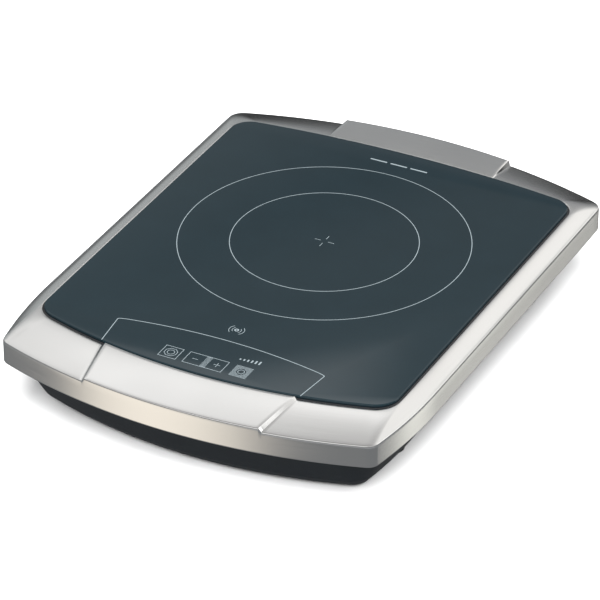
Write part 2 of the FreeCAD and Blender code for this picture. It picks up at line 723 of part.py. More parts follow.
def grille_slots():
    """Intake slots under the fan, together filling a circle."""
    reach = dim("fan_bore") - 1
    slots = []
    count = int(reach // dim("slot_pitch"))
    for index in range(-count, count + 1):
        aside = index * dim("slot_pitch")
        long = 2 * math.sqrt(reach ** 2 - aside ** 2)
        middle = Vector(dim("fan_x") + aside, dim("fan_y"), dim("base_floor") - 1)
        if index % 2 == 0 and abs(index) < count:
            half = long / 2 - 1
            for side in (-1, 1):
                part = middle + Vector(0, side * (half / 2 + 1), 0)
                slots.append(rounded_slot(part, half - 1, dim("slot_wide"), dim("base_wall") + 2))
        else:
            slots.append(rounded_slot(middle, long, dim("slot_wide"), dim("base_wall") + 2))
    return slots


def outlet_slots():
    """Upright slots through the rear wall, either side of the middle."""
    slots = []
    for index in range(int(dim("outlet_count"))):
        x = dim("outlet_start") + index * dim("slot_pitch")
        corner = Vector(x, dim("boss_rear") + 12, dim("outlet_low"))
        deep = dim("frame_rear") - corner.y
        slots.append(Part.makeBox(dim("slot_wide"), deep, dim("outlet_tall"), corner))
    return slots


def make_feet():
    names = ("foot_left_front", "foot_left_rear", "foot_right_front", "foot_right_rear")
    for label, (x_name, y_name) in zip(names, four_spots("foot_x", "foot_front", "foot_rear")):
        cone = doc.addObject("Part::Cone", label + "_cone")
        bind(cone, {"Radius1": "foot_tread", "Radius2": "foot_radius", "Height": "base_floor"})
        place(cone, (x_name, y_name, "0"))
        well = post(label + "_well", "screw_head + head_clear", "base_floor - foot_shoulder",
                    (x_name, y_name, "0"))
        hole = post(label + "_hole", "screw_radius + screw_clear", "base_floor", (x_name, y_name, "0"))
        node(cut(label, cone, [well, hole]))


def screw(label, spot, head_level, shank_end):
    """Screw with its head at the bottom, pointing up."""
    head = post(label + "_head", "screw_head", "screw_head_tall", (spot[0], spot[1], head_level))
    tall = "(%s) - (%s)" % (shank_end, head_level)
    shank = post(label + "_shank", "screw_radius", tall, (spot[0], spot[1], head_level))
    body = joined(label + "_blank", [head, shank])
    drive = post(label + "_drive", "screw_radius", "screw_drive", (spot[0], spot[1], head_level))
    return cut(label, body, [drive])


def screw_down(label, spot, seat, shank_start):
    """Screw with its head on top of a seat, pointing down."""
    head = post(label + "_head", "screw_head", "screw_head_tall", (spot[0], spot[1], seat))
    tall = "(%s) - (%s) + 0.5" % (seat, shank_start)
    shank = post(label + "_shank", "screw_radius - 0.05", tall, (spot[0], spot[1], shank_start))
    body = joined(label + "_blank", [head, shank])
    level = "(%s) + screw_head_tall - screw_drive" % seat
    drive = post(label + "_drive", "screw_radius", "screw_drive", (spot[0], spot[1], level))
    return cut(label, body, [drive])


def screw_set(label, spots, maker, first, second):
    made = [maker("%s_%d" % (label, index), spot, first, second)
            for index, spot in enumerate(spots, start=1)]
    node(group(label, made))


def make_brackets():
    """Steel tabs under the glass ledge that take the case screws."""
    pieces = []
    tall = "ledge_level - sheet_thick - boss_top"
    for index, (x_name, y_name) in enumerate(four_spots("boss_x", "boss_front", "boss_rear"), start=1):
        left = x_name.startswith("-")
        front = y_name + " - tab_wide/2"
        tab = block("tab_%d" % index, ("tab_outer - tab_inner", "tab_wide", "tab_thick"),
                    ("-tab_outer" if left else "tab_inner", front, "boss_top"))
        leg = block("leg_%d" % index, ("tab_thick", "tab_wide", tall),
                    ("-tab_outer" if left else "tab_outer - tab_thick", front, "boss_top"))
        hole = post("tab_hole_%d" % index, "screw_radius + 0.1", "6", (x_name, y_name, "boss_top - 1"))
        pieces.append(cut("bracket_%d" % index, joined("bracket_blank_%d" % index, [tab, leg]), [hole]))
    node(group("frame_brackets", pieces))


# ---------------------------------------------------------------- heating unit

def make_coil():
    """Flat winding: concentric turns of litz strand tied by a thin web."""
    turns = dim("coil_turns")
    inner = dim("coil_inner")
    outer = dim("coil_outer")
    pitch = (outer - inner) / turns
    level = dim("coil_low") + dim("coil_tall") / 2
    half = dim("strand") / 2
    rings = []
    for index in range(int(turns)):
        middle = inner + pitch * (index + 0.5)
        ring = Part.makeTorus(middle, half, Vector(0, dim("zone_y"), level), UP)
        rings.append(ring)
    low = Vector(0, dim("zone_y"), level - dim("tie_thick") / 2)
    tie = Part.makeCylinder(outer, dim("tie_thick"), low)
    tie = tie.cut(Part.makeCylinder(inner, dim("tie_thick"), low))
    return node(shaped("induction_coil", tie.multiFuse(rings)))


def make_mica():
    spot = ("0", "zone_y", "coil_low + coil_tall")
    node(tube("mica_sheet", "coil_outer + mica_margin", "mica_bore", "mica_thick", spot))


def make_carrier():
    """Spoked plastic carrier under the coil, with a pocket for a ferrite bar in each arm."""
    body = doc.addObject("PartDesign::Body", "coil_carrier_rings")
    rings = plan_sketch(body, "carrier_rings", "carrier_low")
    circle_in(rings, "carrier_outer", "0", "zone_y")
    circle_in(rings, "carrier_outer - carrier_rim", "0", "zone_y")
    circle_in(rings, "coil_inner", "0", "zone_y")
    circle_in(rings, "coil_inner - carrier_rim", "0", "zone_y")
    pad(body, rings, "coil_low - carrier_low", "rings_pad")
    doc.recompute()
    arms = []
    pockets = []
    count = int(dim("arm_count"))
    for index in range(count):
        turn = Rotation(UP, 360.0 * (index + 0.5) / count)
        arm = doc.addObject("Part::Box", "carrier_arm_%d" % index)
        bind(arm, {"Length": "carrier_outer - coil_inner", "Width": "arm_wide",
                   "Height": "coil_low - carrier_low"})
        middle = Placement(Vector(0, dim("zone_y"), dim("carrier_low")), turn)
        start = Vector(dim("coil_inner") - 2, -dim("arm_wide") / 2, 0)
        arm.Placement = middle.multiply(Placement(start, Rotation()))
        arms.append(arm)
        pockets.append(ferrite_box("carrier_pocket_%d" % index, index, dim("ferrite_play")))
    blank = joined("coil_carrier_blank", [body] + arms)
    node(cut("coil_carrier", blank, pockets))


def ferrite_box(label, index, play):
    """One radial bar, or its pocket when it has play round it."""
    count = int(dim("arm_count"))
    angle = 360.0 * (index + 0.5) / count
    bar = doc.addObject("Part::Box", label)
    bind(bar, {"Length": "ferrite_long + 2*%s" % play, "Width": "ferrite_wide + 2*%s" % play,
               "Height": "ferrite_tall + 3*%s" % play})
    start = (dim("coil_inner") + dim("coil_outer") - dim("ferrite_long")) / 2 - play
    low = dim("coil_low") - dim("ferrite_tall") - dim("ferrite_sunk")
    offset = Placement(Vector(start, -dim("ferrite_wide") / 2 - play, 0), Rotation())
    bar.Placement = Placement(Vector(0, dim("zone_y"), low), Rotation(UP, angle)).multiply(offset)
    return bar


def make_ferrites():
    bars = [ferrite_box("ferrite_%d" % index, index, 0) for index in range(int(dim("arm_count")))]
    node(group("ferrite_bars", bars))


def make_sensor():
    """Sensor button pressed against the glass, in a holder in the carrier's hub."""
    outer = "coil_inner - carrier_rim - holder_play"
    node(tube("sensor_holder", outer, "holder_bore", "holder_tall", ("0", "zone_y", "carrier_low")))
    button_low = "glass_top - glass_thick - button_tall"
    button = post("sensor_button", "button_radius", "button_tall", ("0", "zone_y", button_low))
    stem = post("sensor_stem", "stem_radius", "stem_tall", ("0", "zone_y", button_low + " - stem_tall"))
    node(joined("temperature_sensor", [button, stem]))


def spiral_spring(label, spot, tall, kind):
    """Helical compression spring standing on a spot, its sizes taken from the sheet."""
    radius = dim(kind + "_radius")
    helix = Part.makeHelix(tall / dim(kind + "_turns"), tall, radius)
    section = Part.Wire(Part.makeCircle(dim(kind + "_wire") / 2, Vector(radius, 0, 0), BACK))
    coil = Part.Wire(helix.Edges).makePipeShell([section], True, True)
    coil.translate(spot)
    return shaped(label, coil)


def make_coil_springs():
    low = dim("shield_low") + dim("shield_thick") + dim("spring_wire") / 2
    tall = dim("carrier_low") - low - dim("spring_wire") / 2
    springs = []
    for index in range(4):
        angle = 45 + 90 * index
        spot = polar(angle, dim("carrier_outer") - dim("carrier_rim") / 2, (0, dim("zone_y")))
        spot.z = low
        springs.append(spiral_spring("coil_spring_%d" % (index + 1), spot, tall, "spring"))
    node(group("coil_springs", springs))


def make_shield():
    plate = centred_block("shield_blank", ("2*shield_half", "2*shield_half", "shield_thick"),
                          ("0", "zone_y", "shield_low"))
    holes = []
    spots = [("%d*post_x" % x, "zone_y + %d*post_y" % y) for x, y in CORNERS]
    for index, (x, y) in enumerate(spots, start=1):
        holes.append(post("shield_hole_%d" % index, "screw_radius + screw_clear", "shield_thick",
                          (x, y, "shield_low")))
    lead_gap = centred_block("shield_lead_gap", ("lead_gap_wide", "lead_gap_deep", "shield_thick"),
                             ("0", "zone_y - lead_reach", "shield_low"))
    node(cut("shield_plate", plate, holes + [lead_gap]))
    screw_set("shield_screws", spots, screw_down, "shield_low + shield_thick", "shield_low - shield_bite")


# ---------------------------------------------------------------- electronics

def make_board():
    size = ("board_wide", "board_deep", "board_thick")
    plate = centred_block("power_board_blank", size, ("board_x", "board_y", "board_level"))
    spots = [(str(x), str(y)) for x, y in board_posts()]
    holes = []
    for index, (x, y) in enumerate(spots, start=1):
        holes.append(post("board_hole_%d" % index, "screw_radius + screw_clear", "board_thick",
                          (x, y, "board_level")))
    node(cut("power_board", plate, holes))
    screw_set("board_screws", spots, screw_down, "board_level + board_thick", "board_level - board_bite")


def board_spot(x, y, lift=0):
    """Spot on the power board, from its middle and its upper face, as formulas."""
    return ("board_x + (%s)" % x, "board_y + (%s)" % y, "board_level + board_thick + (%s)" % lift)


def on_board(label, size, x, y, lift=0):
    """Component standing on the power board."""
    return centred_block(label, [str(length) for length in size], board_spot(x, y, lift))


def make_heat_sink():
    x, y = SINK_SPOT
    base = on_board("sink_base_plate", ("sink_wide", "sink_deep", "sink_base"), x, y)
    fins = []
    count = int(dim("sink_fins"))
    for index in range(count):
        share = index / (count - 1) - 0.5
        offset = x + (dim("sink_wide") - dim("fin_thick")) * share
        fins.append(on_board("fin_%d" % index, ("fin_thick", "sink_deep", "sink_tall"), offset, y))
    node(joined("heat_sink", [base] + fins))


def make_transistor():
    """Power transistor standing behind the heat sink, its tab against the fins' ends."""
    x, y = SINK_SPOT
    tab_size = (16, 1.5, 17.5)
    case_size = (16, 4, 16)
    lift = 4
    tab_y = y + dim("sink_deep") / 2 + tab_size[1] / 2
    case_y = tab_y + (tab_size[1] + case_size[1]) / 2
    parts = [
        on_board("transistor_tab", tab_size, x, tab_y, lift),
        on_board("transistor_case", case_size, x, case_y, lift),
    ]
    for leg in (-1, 0, 1):
        parts.append(on_board("transistor_leg_%d" % leg, (1, 1, lift), x + 5 * leg, case_y))
    node(joined("power_transistor", parts))


def make_components():
    """Power components round the heat sink, each a piece of its own."""
    make_transistor()
    for label, size, (x, y) in COMPONENTS:
        node(on_board(label, size, x, y))
    node(tube("filter_choke", "16", "7", "14", board_spot(32, -8)))
    node(post("fuse", "2.6", "22", board_spot(21, -34, 6.8), Rotation(BACK, 90)))
    node(post("buzzer", "6", "8", board_spot(-48, -55)))


def make_terminals():
    """Terminal block with a screw recess over each pole."""
    x, y = TERMINAL_SPOT
    tall = 14
    deep = 2
    body = on_board("terminal_body", (24, 12, tall), x, y)
    recesses = []
    for pole in (-1, 0, 1):
        spot = board_spot(x + 7 * pole, y, tall - deep)
        recesses.append(post("terminal_recess_%d" % pole, "2.4", str(deep), spot))
    node(cut("terminal_block", body, recesses))


def bent_lead(label, points, radius):
    """Insulated lead along straight runs joined by tangent arcs."""
    path = rounded_path(points, 4 * radius)
    start = points[0]
    direction = (points[1] - points[0]).normalize()
    section = Part.Wire(Part.makeCircle(radius, start, direction))
    lead = path.makePipeShell([section], True, False)
    return shaped(label, lead)


def rounded_path(points, bend):
    """Wire of straight runs with each inner corner rounded."""
    edges = []
    last = points[0]
    for before, corner, after in zip(points, points[1:], points[2:]):
        arrive = (corner - before).normalize()
        leave = (after - corner).normalize()
        half_turn = arrive.getAngle(leave) / 2
        reach = bend * math.tan(half_turn)
        start = corner - arrive * reach
        end = corner + leave * reach
        inward = (leave - arrive).normalize()
        middle = corner + inward * (bend / math.cos(half_turn) - bend)
        edges.append(Part.LineSegment(last, start).toShape())
        edges.append(Part.Arc(start, middle, end).toShape())
        last = end
    edges.append(Part.LineSegment(last, points[-1]).toShape())
    return Part.Wire(edges)


def make_coil_leads():
    """Two leads from the coil's inner end through the shield to the power board."""
    board_top = dim("board_level") + dim("board_thick")
    radius = dim("lead_radius")
    high = dim("carrier_low") - radius - 0.3
    near = dim("zone_y") - dim("coil_inner") - 4
    drop = dim("zone_y") - dim("lead_reach")
    pair = []
    for index, x in enumerate((-dim("lead_half"), dim("lead_half")), start=1):
        pair.append(bent_lead("coil_lead_%d" % index, [
            Vector(x, near, high),
            Vector(x, drop, high),
            Vector(x, drop, board_top + 6),
            Vector(x + 14, drop - 24, board_top + 6),
            Vector(x + 14, drop - 24, board_top + 0.2),
        ], radius))
    node(group("coil_leads", pair))


def make_supply_leads():
    """Three leads from the terminal block to the cord inlet."""
    x, y = TERMINAL_SPOT
    level = dim("board_level") + dim("board_thick") + 5
    behind = dim("board_y") + y + 6.4
    poles = []
    for index, pole in enumerate((-1, 0, 1), start=1):
        start_x = dim("board_x") + x + 7 * pole
        end_x = dim("gland_x") + 1.4 * pole
        poles.append(bent_lead("supply_lead_%d" % index, [
            Vector(start_x, behind, level),
            Vector(start_x, behind + 12, level),
            Vector(end_x, dim("gland_inner") - 10, dim("gland_level")),
            Vector(end_x, dim("gland_inner") - 1, dim("gland_level")),
        ], 1.2))
    node(group("supply_leads", poles))


# ---------------------------------------------------------------- touch panel

def make_touch_board():
    """Touch board in its tray."""
    middle = ("0", "touch_y")
    size = ("touch_wide", "touch_deep", "board_thick")
    node(centred_block("touch_board", size, middle + ("touch_level",)))
    floor_level = "touch_level - tray_tall + 1"
    tray = centred_block("tray_blank", ("touch_wide + 2*tray_margin", "touch_deep + 4", "tray_tall"),
                         middle + (floor_level,))
    seat = centred_block("tray_seat", ("touch_wide + 1", "touch_deep + 1", "tray_tall"),
                         middle + ("touch_level",))
    well = centred_block("tray_well", ("touch_wide - 6", "touch_deep - 6", "tray_tall"),
                         middle + (floor_level + " + 2",))
    notch = centred_block("tray_notch", ("ribbon_wide + 4", "6", "tray_tall"),
                          ("ribbon_x", "touch_y + touch_deep/2 + 2", "touch_level"))
    node(cut("touch_board_holder", tray, [seat, well, notch]))


def touch_columns():
    """Sideways spots of the touch springs and of the lamps behind them."""
    return [(index - 1.5) * dim("touch_pitch") for index in range(4)]


def make_touch_parts():
    """A spring under each touch mark, and a lamp behind it."""
    low = dim("touch_level") + dim("board_thick") + 0.4
    tall = dim("glass_top") - dim("glass_thick") - low - 0.4
    springs = []
    lamps = []
    for index, x in enumerate(touch_columns(), start=1):
        spot = Vector(x, dim("touch_y") - 6, low)
        springs.append(spiral_spring("touch_spring_%d" % index, spot, tall, "touch_spring"))
        lamps.append(post("lamp_%d" % index, "lamp_radius", "lamp_tall",
                          (str(x), "touch_y + 8", "touch_level + board_thick")))
    node(group("touch_springs", springs))
    node(group("indicator_lamps", lamps))


def make_ribbon():
    """Flat cable from the touch board down to the power board."""
    x = dim("ribbon_x")
    start_y = dim("touch_y") + dim("touch_deep") / 2 + 0.5
    drop_y = start_y + 10.5
    end_y = dim("board_y") - dim("board_deep") / 2 + 12
    high = dim("touch_level") + 0.2
    low = dim("board_level") + dim("board_thick") + 4
    path = rounded_path([
        Vector(x, start_y, high),
        Vector(x, drop_y, high),
        Vector(x, drop_y, low),
        Vector(x, end_y, low),
    ], 4.0)
    half = dim("ribbon_wide") / 2
    thick = dim("ribbon_thick")
    corners = [Vector(x + across, start_y, high + up)
               for across, up in ((-half, 0), (half, 0), (half, thick), (-half, thick))]
    section = Part.makePolygon(corners + corners[:1])
    node(shaped("ribbon_cable", path.makePipeShell([section], True, False)))


# ---------------------------------------------------------------- cooling

def at_fan(level):
    """Spot on the fan's axis at a level, as formulas."""
    return ("fan_x", "fan_y", level)


FAN_FLOOR = "base_floor + base_wall"


def around_fan(label, size, start, index, count, lift, first=0.0):
    """One of several boxes set round the fan's axis, each reaching outwards from its start."""
    box = doc.addObject("Part::Box", label)
    bind(box, {"Length": size[0], "Width": size[1], "Height": size[2]})
    middle = Vector(dim("fan_x"), dim("fan_y"), number(FAN_FLOOR + " + " + lift))
    turn = Placement(middle, Rotation(UP, first + 360.0 * index / count))
    offset = Vector(number(start), -number(size[1]) / 2, 0)
    box.Placement = turn.multiply(Placement(offset, Rotation()))
    return box


def make_fan():
    """Axial fan lying on the floor over the intake grille."""
    square = centred_block("fan_square", ("fan_size", "fan_size", "fan_tall"), at_fan(FAN_FLOOR))
    opening = post("fan_opening", "fan_bore", "fan_tall", at_fan(FAN_FLOOR))
    spots = [("fan_x + %d*fan_holes/2" % x, "fan_y + %d*fan_holes/2" % y) for x, y in CORNERS]
    holes = [post("fan_hole_%d" % index, "screw_radius + screw_clear", "fan_tall", (x, y, FAN_FLOOR))
             for index, (x, y) in enumerate(spots, start=1)]
    ring = cut("fan_ring", square, [opening] + holes)
    plate = post("fan_motor_plate", "motor_plate", "motor_thick", at_fan(FAN_FLOOR))
    strut_size = ("fan_bore - motor_plate + 3", "strut_wide", "motor_thick")
    struts = [around_fan("fan_strut_%d" % index, strut_size, "motor_plate - 2", index, 3, "0", 30)
              for index in range(3)]
    shaft_hole = post("fan_plate_hole", "bearing_radius", "motor_thick", at_fan(FAN_FLOOR))
    node(cut("fan_housing", joined("fan_housing_blank", [ring, plate] + struts), [shaft_hole]))
    node(tube("fan_bearing", "bearing_radius", "shaft_radius + shaft_play", "bearing_long",
              at_fan(FAN_FLOOR)))
    make_stator()
    make_rotor()
    screw_set("fan_screws", spots, screw_down, FAN_FLOOR + " + fan_tall", FAN_FLOOR + " - fan_bite")


def make_stator():
    """Four-pole stator round the bearing, with a winding on each pole."""
    core = post("stator_core_post", "stator_core", "stator_tall", at_fan(FAN_FLOOR + " + stator_lift"))
    pole_size = ("pole_long", "pole_wide", "stator_tall")
    poles = [around_fan("stator_pole_%d" % index, pole_size, "0", index, 4, "stator_lift")
             for index in range(4)]
    bore = post("stator_bore", "bearing_radius", "stator_tall", at_fan(FAN_FLOOR + " + stator_lift"))
    node(cut("fan_stator", joined("stator_blank", [core] + poles), [bore]))
    windings = []
    blank_size = ("winding_long", "pole_wide + 2*winding_side", "stator_tall + 2*winding_over")
    hole_size = ("winding_long", "pole_wide", "stator_tall")
    for index in range(4):
        blank = around_fan("winding_%d" % index, blank_size, "winding_start", index, 4,
                           "stator_lift - winding_over")
        hole = around_fan("winding_hole_%d" % index, hole_size, "winding_start", index, 4, "stator_lift")
        windings.append(cut("stator_winding_%d" % index, blank, [hole]))
    node(group("stator_windings", windings))


def blade(index, low, high):
    """One pitched blade from the hub to the tip."""
    count = int(dim("fan_blades"))
    thick = dim("blade_thick")
    sweep = math.radians(13.5)
    trail = 8.0
    wires = []
    for radius, lead in ((dim("fan_hub") - 0.8, 0.0), (dim("fan_tip"), trail)):
        half = sweep * radius / 2
        profile = ((-half, high), (-half + thick, high), (half, low), (half - thick, low))
        corners = [Vector(radius, across, level) for across, level in profile]
        section = Part.makePolygon(corners + corners[:1])
        section.rotate(Vector(), UP, 360.0 * index / count + lead)
        section.translate(Vector(dim("fan_x"), dim("fan_y"), 0))
        wires.append(section)
    return ruled(wires)


def make_rotor():
    """Impeller cup with its blades, magnet ring and shaft: the pieces that spin."""
    level = number(FAN_FLOOR)
    middle = Vector(dim("fan_x"), dim("fan_y"), level)
    cup = Part.makeCylinder(dim("fan_hub"), dim("cup_tall"), middle + UP * dim("cup_lift"))
    blades = [blade(index, level + dim("blade_low"), level + dim("blade_high"))
              for index in range(int(dim("fan_blades")))]
    cup = cup.multiFuse(blades)
    inner = dim("fan_hub") - dim("cup_wall")
    cup = cup.cut(Part.makeCylinder(inner, dim("cup_deep"), middle + UP * dim("cup_lift")))
    socket_level = middle + UP * dim("socket_lift")
    socket_tall = dim("cup_lift") + dim("cup_tall") - dim("socket_lift")
    cup = cup.fuse(Part.makeCylinder(dim("socket_radius"), socket_tall, socket_level))
    cup = cup.cut(Part.makeCylinder(dim("shaft_radius"), dim("socket_bite"), socket_level))
    node(shaped("fan_impeller", cup.removeSplitter()))
    outer = "fan_hub - cup_wall"
    node(tube("fan_magnet_ring", outer, outer + " - magnet_thick", "magnet_tall",
              at_fan(FAN_FLOOR + " + magnet_lift")))
    node(post("fan_shaft", "shaft_radius", "shaft_long", at_fan(FAN_FLOOR + " + shaft_lift")))


def make_duct():
    """Angled baffle in front of the fan that turns its air towards the heat sink."""
    wall = dim("baffle_wall")
    low = dim("base_floor") + dim("base_wall")
    tall = dim("shield_low") - low - dim("baffle_gap")
    front = dim("fan_y") - dim("fan_size") / 2 - 11
    start = dim("fan_x") - dim("fan_size") / 2 - 4
    bend = dim("fan_x") + 24
    end = dim("board_x") - dim("board_wide") / 2 - 3
    route = [(start, front), (bend, front), (end, front + 6)]
    pieces = []
    for (x_a, y_a), (x_b, y_b) in zip(route, route[1:]):
        along = Vector(x_b - x_a, y_b - y_a, 0)
        slab = Part.makeBox(along.Length + wall, wall, tall)
        angle = math.degrees(math.atan2(along.y, along.x))
        slab.Placement = Placement(Vector(x_a, y_a, low), Rotation(UP, angle))
        pieces.append(slab)
    node(shaped("air_baffle", pieces[0].multiFuse(pieces[1:]).removeSplitter()))


def make_gland():
    """Cord inlet: a flanged bush through the rear wall, empty."""
    turn = Rotation(Vector(1, 0, 0), -90)
    start = ("gland_x", "gland_inner", "gland_level")
    barrel = post("gland_barrel", "gland_radius", "gland_outer - gland_inner", start, turn)
    flange = post("gland_rim", "gland_radius + gland_flange", "gland_flange",
                  ("gland_x", "gland_outer", "gland_level"), turn)
    bore = post("gland_hole", "gland_bore", "gland_outer - gland_inner + gland_flange", start, turn)
    node(cut("cord_gland", joined("gland_blank", [barrel, flange]), [bore]))


def make_all():
    make_top_frame()
    make_glass()
    make_seal()
    make_base()
    make_feet()
    foot_spots = four_spots("foot_x", "foot_front", "foot_rear")
    screw_set("foot_screws", foot_spots, screw, "foot_head_level", "base_floor + base_wall + foot_screw_tip")
    boss_spots = four_spots("boss_x", "boss_front", "boss_rear")
    screw_set("case_screws", boss_spots, screw, "case_head_level", "boss_top + tab_thick + case_screw_tip")
    make_brackets()
    make_coil()
    make_mica()
    make_carrier()
    make_ferrites()
    make_sensor()
    make_coil_springs()
    make_shield()
    make_board()
    make_heat_sink()
    make_components()
    make_terminals()
    make_coil_leads()
    make_supply_leads()
    make_touch_board()
    make_touch_parts()
    make_ribbon()
    make_fan()
    make_duct()
    make_gland()


def check_and_write():
    doc.recompute()
    faults = []
    for thing in doc.Objects:
        if "Invalid" in thing.State or "Error" in thing.State:
            faults.append("%s is %s" % (thing.Label, thing.State))
    for thing in NODES:
        shape = thing.Shape
        if shape.isNull() or not shape.isValid() or not shape.Solids:
            faults.append("%s has no valid solid" % thing.Label)
    if faults:
        raise RuntimeError("; ".join(faults))
    os.makedirs("parts", exist_ok=True)
    for thing in NODES:
        thing.Shape.exportStep("parts/%s.step" % thing.Label)
        print("%-24s solids %d volume %.0f" % (thing.Label, len(thing.Shape.Solids), thing.Shape.Volume))
    print("nodes", len(NODES))


make_all()
check_and_write()
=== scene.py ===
import json
import math

import bpy
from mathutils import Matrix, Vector


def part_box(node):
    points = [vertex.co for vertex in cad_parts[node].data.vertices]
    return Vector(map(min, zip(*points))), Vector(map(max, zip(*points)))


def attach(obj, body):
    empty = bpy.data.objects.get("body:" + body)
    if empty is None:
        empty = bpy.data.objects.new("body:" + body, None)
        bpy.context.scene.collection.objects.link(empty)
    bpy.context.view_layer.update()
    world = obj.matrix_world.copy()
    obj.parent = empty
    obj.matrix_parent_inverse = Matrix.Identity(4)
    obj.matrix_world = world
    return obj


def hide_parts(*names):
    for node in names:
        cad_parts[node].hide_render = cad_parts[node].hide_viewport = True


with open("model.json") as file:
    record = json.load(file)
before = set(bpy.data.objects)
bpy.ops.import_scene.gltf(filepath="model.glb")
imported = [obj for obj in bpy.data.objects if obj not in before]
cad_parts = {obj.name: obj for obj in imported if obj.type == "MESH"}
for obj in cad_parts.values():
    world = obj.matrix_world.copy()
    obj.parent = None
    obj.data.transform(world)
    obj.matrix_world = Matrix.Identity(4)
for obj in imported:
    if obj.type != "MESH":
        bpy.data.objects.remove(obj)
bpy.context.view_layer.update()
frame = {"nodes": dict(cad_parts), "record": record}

MM = 0.001

# ---------------------------------------------------------------- sizes, in metres

FRAME_LOW, FRAME_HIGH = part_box("top_frame")
GLASS_LOW, GLASS_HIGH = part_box("glass_plate")
MICA_LOW, MICA_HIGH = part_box("mica_sheet")
ZONE_Y = (MICA_LOW.y + MICA_HIGH.y) / 2

SEAL_WIDE = 1.2 * MM

# The steel: its sheet, the ledge under the glass, and the levels of the opening's rim and the outer crease.
SHEET = 1.2 * MM
LEDGE = 8 * MM
LEDGE_ROUND = 0.3 * MM
LEDGE_RISE = 0.05 * MM
LEDGE_LEVEL = GLASS_LOW.z - 0.5 * MM
RIM = GLASS_HIGH.z - 2.3 * MM
CREASE = GLASS_HIGH.z - 7.2 * MM
GRIP_FRONT_RIM = FRAME_HIGH.z
GRIP_FRONT_CREASE = CREASE + 2.7 * MM
GRIP_REAR_RIM = RIM + 0.2 * MM
GRIP_REAR_CREASE = CREASE + 4.1 * MM

# The rounded lip at the opening. On the front grip it reaches over the seal.
LIP = 0.45 * MM
LIP_REACH = 0.85 * MM
LIP_START = 1.1 * MM
LIP_FOOT = 0.85 * MM
LIP_TURNS = (0, 30, 60, 90)

# The top falls along a power curve, less bowed at the front and rear than at the sides.
TOP_BOW = 1.2
TOP_BOW_SIDE = 0.7
TOP_STEPS = 16
LEAST_FALL = 0.2 * MM

# The crease: a rolled edge, then a short leaning bevel that blends into the skirt.
CREASE_ROUND = 1.2 * MM
CREASE_STEPS = 8
BEVEL_DEEP = 1.0 * MM
BEVEL_LEAN = math.radians(9)
BEVEL_BLEND = 0.1
BEVEL_BLEND_DEEP = 1.2 * BEVEL_DEEP

# The skirt with its rounded hem, and how far the inner bends lie below the outer face.
SKIRT_LOW = FRAME_LOW.z
SKIRT_HEM = 0.6 * MM
SKIRT_SHARES = (0.0, 0.25, 0.5, 0.75, 0.97)
HEM_TURNS = (0, 45, 90)
INNER_BEND = 1.3 * SHEET

# Two places in the list of a section's points: on the lip and on the top. The grain is laid by the section
# where they are furthest apart.
LIP_POINT = 5
TOP_POINT = 12

FRAME_PLAN = {
    "half": FRAME_HIGH.x, "front": FRAME_LOW.y, "rear": FRAME_HIGH.y,
    "front_arc": 450 * MM, "rear_arc": 450 * MM, "front_corner": 9 * MM, "rear_corner": 13 * MM,
    "side_start": -104 * MM, "side_arc": 400 * MM,
}
OPENING_PLAN = {
    "half": GLASS_HIGH.x + SEAL_WIDE, "front": GLASS_LOW.y - SEAL_WIDE, "rear": GLASS_HIGH.y + SEAL_WIDE,
    "front_arc": 430 * MM, "rear_arc": 950 * MM, "front_corner": 21 * MM, "rear_corner": 18 * MM,
    "side_start": -80 * MM, "side_arc": 9000 * MM,
}

# Half width of each grip where its end walls cross the opening and the crease, and a factor for the walls.
FRONT_GRIP = {"inner": 77.5 * MM, "outer": 71 * MM, "wall": 1.0}
REAR_GRIP = {"inner": 70.5 * MM, "outer": 70.5 * MM, "wall": 0.4}
# Across an end wall: (offset in millimetres before that factor, share of the grip's raise).
WALL_STATIONS = ((-1.2, 1.0), (-1.12, 0.99), (-1.0, 0.95), (1.0, 0.05), (1.12, 0.01), (1.2, 0.0))


# ---------------------------------------------------------------- plan outlines

LEAST_CORNER = 1 * MM

# How many steps each stretch of an outline takes.
FRAME_STEPS = {"edge": 26, "corner": 18, "side_arc": 22, "side_line": 30}
RING_STEPS = {"edge": 80, "corner": 28, "side": 16}


def circles_meet(centre_a, radius_a, centre_b, radius_b):
    """The crossing of two circles that lies furthest to the right and front."""
    gap = centre_b - centre_a
    along = (radius_a ** 2 - radius_b ** 2 + gap.length_squared) / (2 * gap.length)
    aside = math.sqrt(radius_a ** 2 - along ** 2)
    unit = gap.normalized()
    normal = Vector((-unit.y, unit.x))
    spots = [centre_a + unit * along + normal * aside * side for side in (1, -1)]
    return max(spots, key=lambda spot: spot.x - spot.y)


